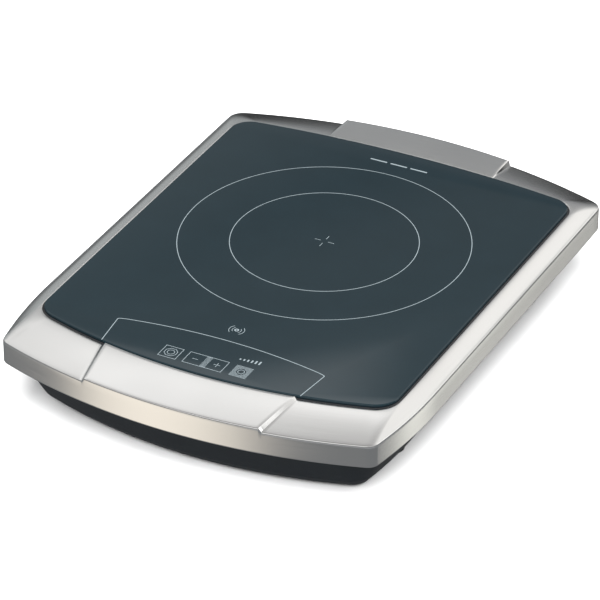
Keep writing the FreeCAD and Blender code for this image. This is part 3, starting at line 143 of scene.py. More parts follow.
class Outline:
    """Plan of a rounded shape: bowed front and rear, and sides that bend inwards near the front.

    Each call that ends in _at gives a point on the outline and its outward normal."""

    def __init__(self, plan, inset=0.0):
        self.half = plan["half"] - inset
        self.front_radius = plan["front_arc"] - inset
        self.rear_radius = plan["rear_arc"] - inset
        self.side_radius = plan["side_arc"] - inset
        self.front_corner = max(plan["front_corner"] - inset, LEAST_CORNER)
        self.rear_corner = max(plan["rear_corner"] - inset, LEAST_CORNER)
        self.side_start = plan["side_start"]
        self.front_middle = Vector((0, plan["front"] + plan["front_arc"]))
        self.rear_middle = Vector((0, plan["rear"] - plan["rear_arc"]))
        self.side_middle = Vector((plan["half"] - plan["side_arc"], plan["side_start"]))
        self.front_spot = circles_meet(self.front_middle, self.front_radius - self.front_corner,
                                       self.side_middle, self.side_radius - self.front_corner)
        rear_x = self.half - self.rear_corner
        reach = self.rear_radius - self.rear_corner
        self.rear_spot = Vector((rear_x, self.rear_middle.y + math.sqrt(reach ** 2 - rear_x ** 2)))
        front_out = (self.front_spot - self.front_middle).normalized()
        side_out = (self.front_spot - self.side_middle).normalized()
        rear_out = (self.rear_spot - self.rear_middle).normalized()
        self.front_angle = math.atan2(front_out.y, front_out.x)
        self.side_angle = math.atan2(side_out.y, side_out.x)
        self.rear_angle = math.atan2(rear_out.y, rear_out.x)
        self.front_end = self.front_middle.x + self.front_radius * math.cos(self.front_angle)
        self.rear_end = self.rear_radius * math.cos(self.rear_angle)

    def on_arc(self, middle, radius, angle):
        out = Vector((math.cos(angle), math.sin(angle)))
        return middle + out * radius, out

    def front_at(self, x):
        return self.on_arc(self.front_middle, self.front_radius, -math.acos(x / self.front_radius))

    def rear_at(self, x):
        return self.on_arc(self.rear_middle, self.rear_radius, math.acos(x / self.rear_radius))

    def front_corner_at(self, share):
        angle = self.front_angle + share * (self.side_angle - self.front_angle)
        return self.on_arc(self.front_spot, self.front_corner, angle)

    def side_arc_at(self, share):
        return self.on_arc(self.side_middle, self.side_radius, self.side_angle * (1 - share))

    def side_line_at(self, share):
        y = self.side_start + share * (self.rear_spot.y - self.side_start)
        return Vector((self.half, y)), Vector((1, 0))

    def rear_corner_at(self, share):
        return self.on_arc(self.rear_spot, self.rear_corner, share * self.rear_angle)


def shares(count):
    """Even steps from 0 up to but not including 1."""
    return [step / count for step in range(count)]


def edge_keys(inner_end, outer_end, grip):
    """Matched places along one long edge, from its middle to the corner, with the grip's raise at each."""
    keys = [(0.0, 0.0, 1.0)]
    for offset, raise_share in WALL_STATIONS:
        step = offset * grip["wall"] * MM
        keys.append((grip["inner"] + step, grip["outer"] + step, raise_share))
    keys.append((inner_end, outer_end, 0.0))
    found = []
    for index, (first, second) in enumerate(zip(keys, keys[1:])):
        count = FRAME_STEPS["edge"] if index in (0, len(keys) - 2) else 1
        for share in shares(count):
            found.append(tuple(a + share * (b - a) for a, b in zip(first, second)))
    found.append(keys[-1])
    return found


def half_stations(inner, outer):
    """Matched points on the opening and the crease, up the right side from front to rear.

    Each is (inner point, inner normal, outer point, outer normal, raise share, grip side). The side is -1
    for the front grip, 1 for the rear one and 0 between them."""
    made = []
    for x_inner, x_outer, raised in edge_keys(inner.front_end, outer.front_end, FRONT_GRIP):
        made.append((*inner.front_at(x_inner), *outer.front_at(x_outer), raised, -1))
    for share in shares(FRAME_STEPS["corner"])[1:]:
        made.append((*inner.front_corner_at(share), *outer.front_corner_at(share), 0.0, 0))
    for share in shares(FRAME_STEPS["side_arc"]):
        made.append((*inner.side_arc_at(share), *outer.side_arc_at(share), 0.0, 0))
    for share in shares(FRAME_STEPS["side_line"]):
        made.append((*inner.side_line_at(share), *outer.side_line_at(share), 0.0, 0))
    for share in shares(FRAME_STEPS["corner"]):
        made.append((*inner.rear_corner_at(share), *outer.rear_corner_at(share), 0.0, 0))
    rear = edge_keys(inner.rear_end, outer.rear_end, REAR_GRIP)
    for x_inner, x_outer, raised in reversed(rear):
        made.append((*inner.rear_at(x_inner), *outer.rear_at(x_outer), raised, 1))
    return made


def mirror(spot):
    return Vector((-spot.x, spot.y))


def ring_stations(inner_plan, outer_plan):
    """Stations all the way round, without a repeat where the halves meet."""
    right = half_stations(Outline(inner_plan), Outline(outer_plan))
    left = [(mirror(a), mirror(an), mirror(b), mirror(bn), raised, side)
            for a, an, b, bn, raised, side in reversed(right[1:-1])]
    return right + left


def plain_ring(plan, inset, level):
    """Points at one level round one outline."""
    line = Outline(plan, inset)
    right = [line.front_at(line.front_end * share) for share in shares(RING_STEPS["edge"])]
    right += [line.front_corner_at(share) for share in shares(RING_STEPS["corner"])]
    right += [line.side_arc_at(share) for share in shares(RING_STEPS["side"])]
    right += [line.side_line_at(share) for share in shares(RING_STEPS["side"])]
    right += [line.rear_corner_at(share) for share in shares(RING_STEPS["corner"])]
    right += [line.rear_at(line.rear_end * (1 - share)) for share in shares(RING_STEPS["edge"])]
    right.append(line.rear_at(0.0))
    spots = [spot for spot, out in right]
    spots += [mirror(spot) for spot in reversed(spots[1:-1])]
    return [lifted(spot, level) for spot in spots]


# ---------------------------------------------------------------- mesh helpers

GRAIN_LAYER = "grain"


def new_object(name, vertices, faces, smooth=True):
    mesh = bpy.data.meshes.new(name)
    mesh.from_pydata([tuple(v) for v in vertices], [], faces)
    mesh.validate()
    if smooth:
        mesh.polygons.foreach_set("use_smooth", [True] * len(mesh.polygons))
    made = bpy.data.objects.new(name, mesh)
    bpy.context.scene.collection.objects.link(made)
    return made


def loop_mesh(name, rings):
    """Closed skin between rings of points, rings[row][station], with the last row joined to the first."""
    count = len(rings[0])
    rows = len(rings)
    vertices = [spot for ring in rings for spot in ring]
    faces = []
    for row in range(rows):
        after = (row + 1) % rows
        for station in range(count):
            side = (station + 1) % count
            faces.append((row * count + station, row * count + side,
                          after * count + side, after * count + station))
    return new_object(name, vertices, faces)


def lay_uv(thing, rings, across):
    """UV in metres: along the ring, and across the section."""
    mesh = thing.data
    count = len(rings[0])
    middle = rings[len(rings) // 2]
    along = [0.0]
    for station in range(count):
        along.append(along[-1] + (middle[(station + 1) % count] - middle[station]).length)
    layer = mesh.uv_layers.new(name=GRAIN_LAYER)
    rows = len(rings)
    for face in mesh.polygons:
        corners = [mesh.loops[index].vertex_index for index in face.loop_indices]
        stations = [corner % count for corner in corners]
        levels = [corner // count for corner in corners]
        wraps = max(stations) - min(stations) > count / 2
        turns = max(levels) - min(levels) > rows / 2
        for index, station, level in zip(face.loop_indices, stations, levels):
            reach = along[count] if wraps and station == 0 else along[station]
            height = across[-1] if turns and level == 0 else across[level]
            layer.data[index].uv = (reach, height)


def lifted(spot, level):
    return Vector((spot.x, spot.y, level))


# ---------------------------------------------------------------- the pressed steel frame

def frame_section(station):
    """Points of the frame's section at one station, from the ledge over the crease to the skirt and back."""
    inner, inner_out, outer, outer_out, raised, side = station
    rim = RIM
    crease = CREASE
    reach = LIP_REACH * raised if side < 0 else 0.0
    if side < 0:
        rim += raised * (GRIP_FRONT_RIM - rim)
        crease += raised * (GRIP_FRONT_CREASE - crease)
    if side > 0:
        rim += raised * (GRIP_REAR_RIM - rim)
        crease += raised * (GRIP_REAR_CREASE - crease)
    bow = TOP_BOW + TOP_BOW_SIDE * abs(outer_out.x)
    points = []

    def put(base, out, offset, level):
        points.append(lifted(base + out * offset, level))

    put(inner, inner_out, -LEDGE, LEDGE_LEVEL)
    put(inner, inner_out, -LEDGE_ROUND, LEDGE_LEVEL)
    put(inner, inner_out, 0.0, LEDGE_LEVEL + LEDGE_RISE)
    put(inner, inner_out, 0.0, rim - LIP_START)
    put(inner, inner_out, -reach, rim - LIP_FOOT)
    for angle in LIP_TURNS:
        turn = math.radians(angle)
        put(inner, inner_out, LIP * (1 - math.cos(turn)) - reach, rim - LIP * (1 - math.sin(turn)))
    start = lifted(inner + inner_out * (LIP - reach), rim)
    tip = outer - outer_out * CREASE_ROUND
    span = (Vector((tip.x, tip.y)) - Vector((start.x, start.y))).length
    slope = math.atan(bow * max(rim - crease, LEAST_FALL) / span)
    end_inset = CREASE_ROUND * (1 - math.sin(slope))
    end_level = crease - CREASE_ROUND * (1 - math.cos(slope))
    end = lifted(outer - outer_out * end_inset, end_level)
    for share in shares(TOP_STEPS)[1:]:
        flat = start.lerp(end, share)
        flat.z = rim + (end_level - rim) * share ** bow
        points.append(flat)
    bevel = BEVEL_DEEP * math.tan(BEVEL_LEAN)
    last_turn = math.pi / 2 - BEVEL_LEAN
    for share in shares(CREASE_STEPS) + [1.0]:
        turn = slope + (last_turn - slope) * share
        put(outer, outer_out, CREASE_ROUND * (math.sin(turn) - math.sin(last_turn)) - bevel,
            crease - CREASE_ROUND * (1 - math.cos(turn)))
    foot = crease - CREASE_ROUND
    put(outer, outer_out, -bevel * BEVEL_BLEND, foot - BEVEL_DEEP * (1 - BEVEL_BLEND))
    hem = SKIRT_LOW + SKIRT_HEM
    for share in SKIRT_SHARES:
        put(outer, outer_out, 0.0, (foot - BEVEL_BLEND_DEEP) * (1 - share) + hem * share)
    for angle in HEM_TURNS:
        turn = math.radians(angle)
        put(outer, outer_out, -SKIRT_HEM * (1 - math.cos(turn)), SKIRT_LOW + SKIRT_HEM * (1 - math.sin(turn)))
    put(outer, outer_out, -SHEET, SKIRT_LOW)
    put(outer, outer_out, -SHEET, crease - 2 * SHEET)
    put(outer, outer_out, -2 * SHEET, crease - INNER_BEND)
    under = start.lerp(end, 0.5)
    under.z = rim + (end_level - rim) * 0.5 ** bow - SHEET
    points.append(under)
    put(inner, inner_out, SHEET, rim - INNER_BEND)
    put(inner, inner_out, SHEET, LEDGE_LEVEL - SHEET)
    put(inner, inner_out, -LEDGE, LEDGE_LEVEL - SHEET)
    return points


def make_frame():
    stations = ring_stations(OPENING_PLAN, FRAME_PLAN)
    sections = [frame_section(station) for station in stations]
    rings = [list(ring) for ring in zip(*sections)]
    made = loop_mesh("pressed_frame", rings)
    widest = max(sections, key=lambda points: (points[TOP_POINT] - points[LIP_POINT]).length)
    across = [0.0]
    for first, second in zip(widest, widest[1:] + widest[:1]):
        across.append(across[-1] + (second - first).length)
    lay_uv(made, rings, across)
    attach(made, "casing")
    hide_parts("top_frame")
    return made


# ---------------------------------------------------------------- glass, seal and print

PRINT_RISE = 0.02 * MM
PRINT_SINK = 0.01 * MM
GLASS_TOP = GLASS_HIGH.z - PRINT_RISE
GLASS_ROUND = 1.0 * MM
GLASS_CHAMFER = 0.4 * MM
GLASS_STEPS = 8
LEAST_MITRE = 0.3

# The seal's section: (inset from the opening, height above the frame's ledge).
SEAL_SECTION = (
    (SEAL_WIDE, 0.0), (0.05 * MM, 0.0), (0.05 * MM, 1.4 * MM), (0.2 * MM, 1.75 * MM),
    (0.5 * MM, 1.95 * MM), (0.85 * MM, 2.2 * MM), (SEAL_WIDE, 2.4 * MM),
)


def capped_slab(name, rings):
    """Closed solid from rings of points with flat ends."""
    count = len(rings[0])
    vertices = [spot for ring in rings for spot in ring]
    faces = []
    for row in range(len(rings) - 1):
        for station in range(count):
            side = (station + 1) % count
            faces.append((row * count + station, row * count + side,
                          (row + 1) * count + side, (row + 1) * count + station))
    faces.append(tuple(reversed(range(count))))
    last = (len(rings) - 1) * count
    faces.append(tuple(range(last, last + count)))
    return new_object(name, vertices, faces)


def make_glass():
    """Ceramic glass with a rounded ground edge."""
    rings = []
    for inset, level in ((GLASS_CHAMFER, GLASS_LOW.z), (0.0, GLASS_LOW.z + GLASS_CHAMFER)):
        rings.append(plain_ring(OPENING_PLAN, SEAL_WIDE + inset, level))
    for share in shares(GLASS_STEPS) + [1.0]:
        turn = math.pi / 2 * share
        inset = SEAL_WIDE + GLASS_ROUND * (1 - math.cos(turn))
        level = GLASS_TOP - GLASS_ROUND * (1 - math.sin(turn))
        rings.append(plain_ring(OPENING_PLAN, inset, level))
    made = capped_slab("ceramic_glass", rings)
    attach(made, "casing")
    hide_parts("glass_plate")
    return made


def make_seal():
    """Silicone bead: up the glass's edge, with a soft hollow face towards the steel."""
    rings = [plain_ring(OPENING_PLAN, inset, LEDGE_LEVEL + height) for inset, height in SEAL_SECTION]
    made = loop_mesh("seal_bead", rings)
    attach(made, "casing")
    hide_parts("glass_seal")
    return made


def ribbon(points, width, closed=False):
    """Vertices and faces of a thin flat strip along points on the glass, with mitred corners."""
    count = len(points)
    vertices = []
    for index, spot in enumerate(points):
        before = points[index - 1] if closed or index else None
        after = points[(index + 1) % count] if closed or index < count - 1 else None
        arrive = (spot - before).normalized() if before is not None else (after - spot).normalized()
        leave = (after - spot).normalized() if after is not None else arrive
        along = (arrive + leave).normalized()
        aside = Vector((-along.y, along.x))
        stretch = 1 / max(along.dot(arrive), LEAST_MITRE)
        for side in (-1, 1):
            edge = spot + aside * side * width / 2 * stretch
            vertices.append(lifted(edge, GLASS_HIGH.z))
            vertices.append(lifted(edge, GLASS_TOP - PRINT_SINK))
    faces = []
    for index in range(count if closed else count - 1):
        a = index * 4
        b = (index + 1) % count * 4
        faces += [(a, b, b + 2, a + 2), (a + 1, a + 3, b + 3, b + 1),
                  (a, a + 1, b + 1, b), (a + 2, b + 2, b + 3, a + 3)]
    if not closed:
        end = (count - 1) * 4
        faces += [(0, 2, 3, 1), (end, end + 1, end + 3, end + 2)]
    return vertices, faces


def merged(name, strips):
    vertices = []
    faces = []
    for strip_vertices, strip_faces in strips:
        start = len(vertices)
        vertices += strip_vertices
        faces += [tuple(index + start for index in face) for face in strip_faces]
    made = new_object(name, vertices, faces, smooth=False)
    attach(made, "casing")
    return made


def circle_points(middle, radius, count, start=0.0):
    return [middle + Vector((math.cos(turn), math.sin(turn))) * radius
            for turn in (start + 2 * math.pi * step / count for step in range(count))]


def box_points(low_x, low_y, high_x, high_y):
    return [Vector(spot) for spot in ((low_x, low_y), (high_x, low_y), (high_x, high_y), (low_x, high_y))]


def upright_line(x, low, high, width):
    return ribbon([Vector((x, low)), Vector((x, high))], width)


def level_line(low_x, high_x, y, width):
    return ribbon([Vector((low_x, y)), Vector((high_x, y))], width)


ZONE = Vector((0, ZONE_Y))
ZONE_RINGS = (110 * MM, 70.8 * MM)
ZONE_STEPS = 360
ZONE_LINE = 0.55 * MM
PANEL_LINE = 0.6 * MM
SYMBOL_LINE = 0.42 * MM
TICK = (3 * MM, 8 * MM)

# The line round the touch fields, measured from the zone's middle: front ends, corners and bowed top.
PANEL_FRONT = ZONE_Y - 194.6 * MM
PANEL_FOOT_X = 80.2 * MM
PANEL_CORNER = Vector((83.8 * MM, ZONE_Y - 163.8 * MM))
PANEL_ROUND = ((-0.2, -2.2), (0.0, -1.0), (-0.6, -0.1), (-2.2, 0.45))
PANEL_TOP = ZONE_Y - 154.6 * MM
PANEL_BOW = 400 * MM
PANEL_STEPS = 26

# The touch fields: front and rear of the row, then left and right of each field.
FIELD_LOW = ZONE_Y - 193.4 * MM
FIELD_HIGH = ZONE_Y - 179.3 * MM
FIELD_MIDDLE = (FIELD_LOW + FIELD_HIGH) / 2
SWITCH_FIELD = (-35 * MM, -21 * MM)
SWITCH_RADII = ((5.0 * MM, 8, math.pi / 8), (2.7 * MM, 40, 0.0))
LEVEL_FIELD = (-15.4 * MM, 15.7 * MM)
LESS_SIGN = (-10.6 * MM, -6 * MM)
MORE_SIGN = (6.6 * MM, 12 * MM)
MORE_X = 9.3 * MM
MORE_REACH = 2.7 * MM
RUNGS = 11
RUNG = (-1.6 * MM, 2.8 * MM)
BOOST = Vector((28.7 * MM, FIELD_MIDDLE))
BOOST_REACH = 6.7 * MM
BOOST_HOLE = 3.6 * MM
BOOST_RING = 2.4 * MM
BOOST_STEPS = 32
BOOST_STRIPES = 13

# A rising row of bars over the right field.
BAR_Y = ZONE_Y - 172.6 * MM
BARS = 6
BAR_WIDE = 1.2 * MM
BAR_FIRST_X = 20.5 * MM
BAR_PITCH = 3 * MM
BAR_SHORTEST = 1.6 * MM
BAR_GROWTH = 0.55 * MM

# A touch mark behind the fields, and a bar in three parts at the rear edge.
TOUCH_MARK = Vector((0, ZONE_Y - 139 * MM))
TOUCH_DOT = 1.3 * MM
TOUCH_DOT_LINE = 0.9 * MM
TOUCH_DOT_STEPS = 24
TOUCH_WAVES = (3.4 * MM, 5.8 * MM)
WAVE_ANGLES = range(-50, 51, 5)
REAR_BAR_Y = ZONE_Y + 126 * MM
REAR_BARS = (-17 * MM, 0.0, 17 * MM)
REAR_BAR_HALF = 7 * MM
REAR_BAR_LINE = 1.4 * MM


def make_zone_print():
    """Two rings, and four short ticks round their middle."""
    strips = [ribbon(circle_points(ZONE, radius, ZONE_STEPS), ZONE_LINE, closed=True)
              for radius in ZONE_RINGS]
    for turn in range(4):
        out = Vector((math.cos(turn * math.pi / 2), math.sin(turn * math.pi / 2)))
        strips.append(ribbon([ZONE + out * TICK[0], ZONE + out * TICK[1]], SYMBOL_LINE))
    return merged("zone_print", strips)


def make_panel_print():
    """Line round the touch fields: two short legs, rounded corners and a bowed top."""
    right = [Vector((PANEL_FOOT_X, PANEL_FRONT))]
    right += [PANEL_CORNER + Vector(offset) * MM for offset in PANEL_ROUND]
    end_x = right[-1].x
    for share in shares(PANEL_STEPS)[1:]:
        x = end_x * (1 - share)
        right.append(Vector((x, PANEL_TOP + math.sqrt(PANEL_BOW ** 2 - x ** 2) - PANEL_BOW)))
    left = [mirror(spot) for spot in reversed(right)]
    return merged("panel_print", [ribbon(right + [Vector((0, PANEL_TOP))] + left, PANEL_LINE)])


def switch_strips():
    """A square with a ring inside an eight-sided ring."""
    low_x, high_x = SWITCH_FIELD
    middle = Vector(((low_x + high_x) / 2, FIELD_MIDDLE))
    strips = [ribbon(box_points(low_x, FIELD_LOW, high_x, FIELD_HIGH), SYMBOL_LINE, closed=True)]
    for radius, count, start in SWITCH_RADII:
        strips.append(ribbon(circle_points(middle, radius, count, start), SYMBOL_LINE, closed=True))
    return strips


def level_strips():
    """A long box with less and more, and a ladder of rungs between them."""
    low_x, high_x = LEVEL_FIELD
    strips = [ribbon(box_points(low_x, FIELD_LOW, high_x, FIELD_HIGH), SYMBOL_LINE, closed=True)]
    strips.append(level_line(*LESS_SIGN, FIELD_MIDDLE, SYMBOL_LINE))
    strips.append(level_line(*MORE_SIGN, FIELD_MIDDLE, SYMBOL_LINE))
    strips.append(upright_line(MORE_X, FIELD_MIDDLE - MORE_REACH, FIELD_MIDDLE + MORE_REACH, SYMBOL_LINE))
    for step in range(RUNGS):
        y = FIELD_LOW + (FIELD_HIGH - FIELD_LOW) * (step + 0.5) / RUNGS
        strips.append(level_line(*RUNG, y, SYMBOL_LINE))
    return strips


def boost_strips():
    """A striped square with a round hole and a ring in it."""
    strips = []
    for step in range(BOOST_STRIPES):
        y = -BOOST_REACH + 2 * BOOST_REACH * step / (BOOST_STRIPES - 1)
        across = BOOST.y + y
        low_x = BOOST.x - BOOST_REACH
        high_x = BOOST.x + BOOST_REACH
        if abs(y) < BOOST_HOLE:
            gap = math.sqrt(BOOST_HOLE ** 2 - y ** 2)
            strips.append(level_line(BOOST.x - gap, low_x, across, SYMBOL_LINE))
            strips.append(level_line(BOOST.x + gap, high_x, across, SYMBOL_LINE))
        else:
            strips.append(level_line(low_x, high_x, across, SYMBOL_LINE))
    strips.append(ribbon(circle_points(BOOST, BOOST_RING, BOOST_STEPS), SYMBOL_LINE, closed=True))
    return strips


def bar_strips():
    strips = []
    for step in range(BARS):
        high = BAR_Y + BAR_SHORTEST + BAR_GROWTH * step
        strips.append(upright_line(BAR_FIRST_X + BAR_PITCH * step, BAR_Y, high, BAR_WIDE))
    return strips


def make_symbol_print():
    """Touch symbols: switch, less and more, and boost, with a row of bars over the last."""
    return merged("symbol_print", switch_strips() + level_strips() + boost_strips() + bar_strips())


def make_touch_mark():
    """Plain finger-touch mark behind the fields, and a plain bar in three parts at the rear edge."""
    strips = [ribbon(circle_points(TOUCH_MARK, TOUCH_DOT, TOUCH_DOT_STEPS), TOUCH_DOT_LINE, closed=True)]
    for radius in TOUCH_WAVES:
        for facing in (0, 180):
            turns = [math.radians(facing + angle) for angle in WAVE_ANGLES]
            arc = [TOUCH_MARK + Vector((math.cos(turn), math.sin(turn))) * radius for turn in turns]
            strips.append(ribbon(arc, SYMBOL_LINE))
    for x in REAR_BARS:
        strips.append(level_line(x - REAR_BAR_HALF, x + REAR_BAR_HALF, REAR_BAR_Y, REAR_BAR_LINE))
    return merged("plain_marks_print", strips)


# ---------------------------------------------------------------- materials

class Look:
    """Node tree of one material, with short calls for the nodes used here."""

    def __init__(self, name):
        self.material = bpy.data.materials.new(name)
        self.material.use_nodes = True
        self.tree = self.material.node_tree
        self.shader = self.tree.nodes["Principled BSDF"]

    def add(self, kind, **settings):
        made = self.tree.nodes.new(kind)
        for key, value in settings.items():
            if hasattr(made, key) and key not in made.inputs:
                setattr(made, key, value)
            else:
                made.inputs[key].default_value = value
        return made

    def link(self, source, target):
        self.tree.links.new(source, target)

    def drive(self, source, target):
        """Lead a value into one input of the shader."""
        self.link(source, self.shader.inputs[target])

    def set(self, **values):
        for key, value in values.items():
            self.shader.inputs[key.replace("_", " ")].default_value = value

    def place(self, scale, use_uv=False):
        """Coordinates stretched by three factors."""
        where = self.add("ShaderNodeTexCoord")
        mapping = self.add("ShaderNodeMapping", Scale=scale)
        self.link(where.outputs["UV" if use_uv else "Object"], mapping.inputs["Vector"])
        return mapping.outputs["Vector"]

    def noise(self, scale, detail=4.0, roughness=0.55, use_uv=False):
        """Cloudy value. The scale gives its fineness in three directions, in waves to the metre."""
        made = self.add("ShaderNodeTexNoise", Scale=1.0, Detail=detail, Roughness=roughness)
        self.link(self.place(scale, use_uv), made.inputs["Vector"])
        return made.outputs["Fac"]

    def sum(self, first, second):
        made = self.add("ShaderNodeMath", operation="ADD")
        self.link(first, made.inputs[0])
        self.link(second, made.inputs[1])
        return made.outputs[0]

    def remap(self, value, low, high, from_low=0.3, from_high=0.7):
        made = self.add("ShaderNodeMapRange")
        made.inputs["From Min"].default_value = from_low
        made.inputs["From Max"].default_value = from_high
        made.inputs["To Min"].default_value = low
        made.inputs["To Max"].default_value = high
        self.link(value, made.inputs["Value"])
        return made.outputs["Result"]

    def colour(self, value, first, second, low=0.3, high=0.7):
        """Base colour between two colours."""
        made = self.add("ShaderNodeValToRGB")
        for element, position, tint in zip(made.color_ramp.elements, (low, high), (first, second)):
            element.position = position
            element.color = (*tint, 1)
        self.link(value, made.inputs["Fac"])
        self.drive(made.outputs["Color"], "Base Color")

    def roughen(self, value, low, high):
        """Roughness between two levels."""
        self.drive(self.remap(value, low, high), "Roughness")

    def bump(self, height, strength, distance):
        made = self.add("ShaderNodeBump", Strength=strength, Distance=distance)
        self.link(height, made.inputs["Height"])
        self.drive(made.outputs["Normal"], "Normal")


def even(scale):
    return scale, scale, scale


def brushed_steel():
    """Satin stainless steel: long fine strokes along the sheet, broken by softer patches."""
    look = Look("satin_steel")
    fine = look.noise((14.0, 5200.0, 1.0), 6.0, 0.7, use_uv=True)
    broad = look.noise((3.0, 700.0, 1.0), 3.0, 0.6, use_uv=True)
    patches = look.noise(even(9.0), 2.0)
    look.colour(fine, (0.625, 0.618, 0.605), (0.73, 0.725, 0.715))
    look.drive(look.sum(look.remap(fine, 0.16, 0.25), look.remap(patches, -0.02, 0.03)), "Roughness")
    look.bump(look.sum(fine, broad), 0.09, 0.04 * MM)
    tangent = look.add("ShaderNodeTangent", direction_type="UV_MAP", uv_map=GRAIN_LAYER)
    look.drive(tangent.outputs["Tangent"], "Tangent")
    look.set(Metallic=1.0, Anisotropic=0.55)
    return look.material


def ceramic_glass():
    """Dark glass-ceramic: deep blue-grey body, glossy, with a faint cloudiness and fine wiping marks."""
    look = Look("dark_ceramic")
    cloud = look.noise(even(30.0), 3.0)
    wipes = look.noise((60.0, 900.0, 60.0))
    look.colour(cloud, (0.0026, 0.0086, 0.0118), (0.0032, 0.0098, 0.0134))
    look.roughen(wipes, 0.035, 0.055)
    look.bump(cloud, 0.02, 0.05 * MM)
    look.set(IOR=1.45)
    return look.material


def print_enamel():
    """Fired enamel: pale grey, slightly grainy."""
    look = Look("pale_enamel")
    grain = look.noise(even(4000.0), 3.0)
    look.colour(grain, (0.14, 0.168, 0.182), (0.20, 0.235, 0.25))
    look.roughen(grain, 0.35, 0.55)
    look.bump(grain, 0.1, 0.01 * MM)
    return look.material


def moulded(name, dark, pale, grain, rough, depth=0.35, shine=0.5):
    """Moulded or sintered surface: fine spark-eroded grain over a slow colour drift."""
    look = Look(name)
    pits = look.noise(even(grain), 4.0, 0.6)
    drift = look.noise(even(22.0), 3.0)
    mix = look.add("ShaderNodeMath", operation="MULTIPLY_ADD")
    mix.inputs[1].default_value = 0.5
    look.link(pits, mix.inputs[0])
    look.link(look.remap(drift, 0.0, 0.5, 0.0, 1.0), mix.inputs[2])
    look.colour(mix.outputs[0], dark, pale)
    look.roughen(pits, *rough)
    look.bump(pits, depth, 0.08 * MM)
    look.set(Specular_IOR_Level=shine)
    return look.material


def metal(name, dark, pale, rough, stretch=even(300.0)):
    """Plain metal part with fine handling marks."""
    look = Look(name)
    marks = look.noise(stretch, 6.0, 0.7)
    look.colour(marks, dark, pale)
    look.roughen(marks, *rough)
    look.bump(marks, 0.15, 0.03 * MM)
    look.set(Metallic=1.0)
    return look.material


def circuit_board():
    """Green solder mask over a faint grid of tracks."""
    look = Look("green_board")
    brick = look.add("ShaderNodeTexBrick", Scale=260.0, Color1=(0.012, 0.12, 0.045, 1),
                     Color2=(0.018, 0.16, 0.06, 1), Mortar=(0.008, 0.08, 0.03, 1))
    look.link(look.place(even(1.0)), brick.inputs["Vector"])
    look.drive(brick.outputs["Color"], "Base Color")
    look.roughen(look.noise(even(1500.0)), 0.25, 0.4)
    look.bump(brick.outputs["Fac"], 0.2, 0.03 * MM)
    return look.material


def wound_copper():
    """Enamelled copper strand: fine twisted wires."""
    look = Look("copper_strand")
    wave = look.add("ShaderNodeTexWave", Scale=900.0, Distortion=1.5)
    look.link(look.place(even(1.0)), wave.inputs["Vector"])
    twist = wave.outputs["Fac"]
    look.colour(twist, (0.40, 0.13, 0.05), (0.72, 0.32, 0.15), 0.2, 0.8)
    look.roughen(twist, 0.3, 0.45)
    look.bump(twist, 0.5, 0.1 * MM)
    look.set(Metallic=0.8)
    return look.material


def clear_part(name, colour, strength):
    """Clear lamp body or fuse tube."""
    look = Look(name)
    haze = look.noise(even(500.0))
    look.colour(haze, colour, tuple(min(1.0, part * 1.15) for part in colour))
    look.roughen(haze, 0.04, 0.12)
    look.bump(haze, 0.05, 0.02 * MM)
    look.set(Transmission_Weight=strength)
    return look.material


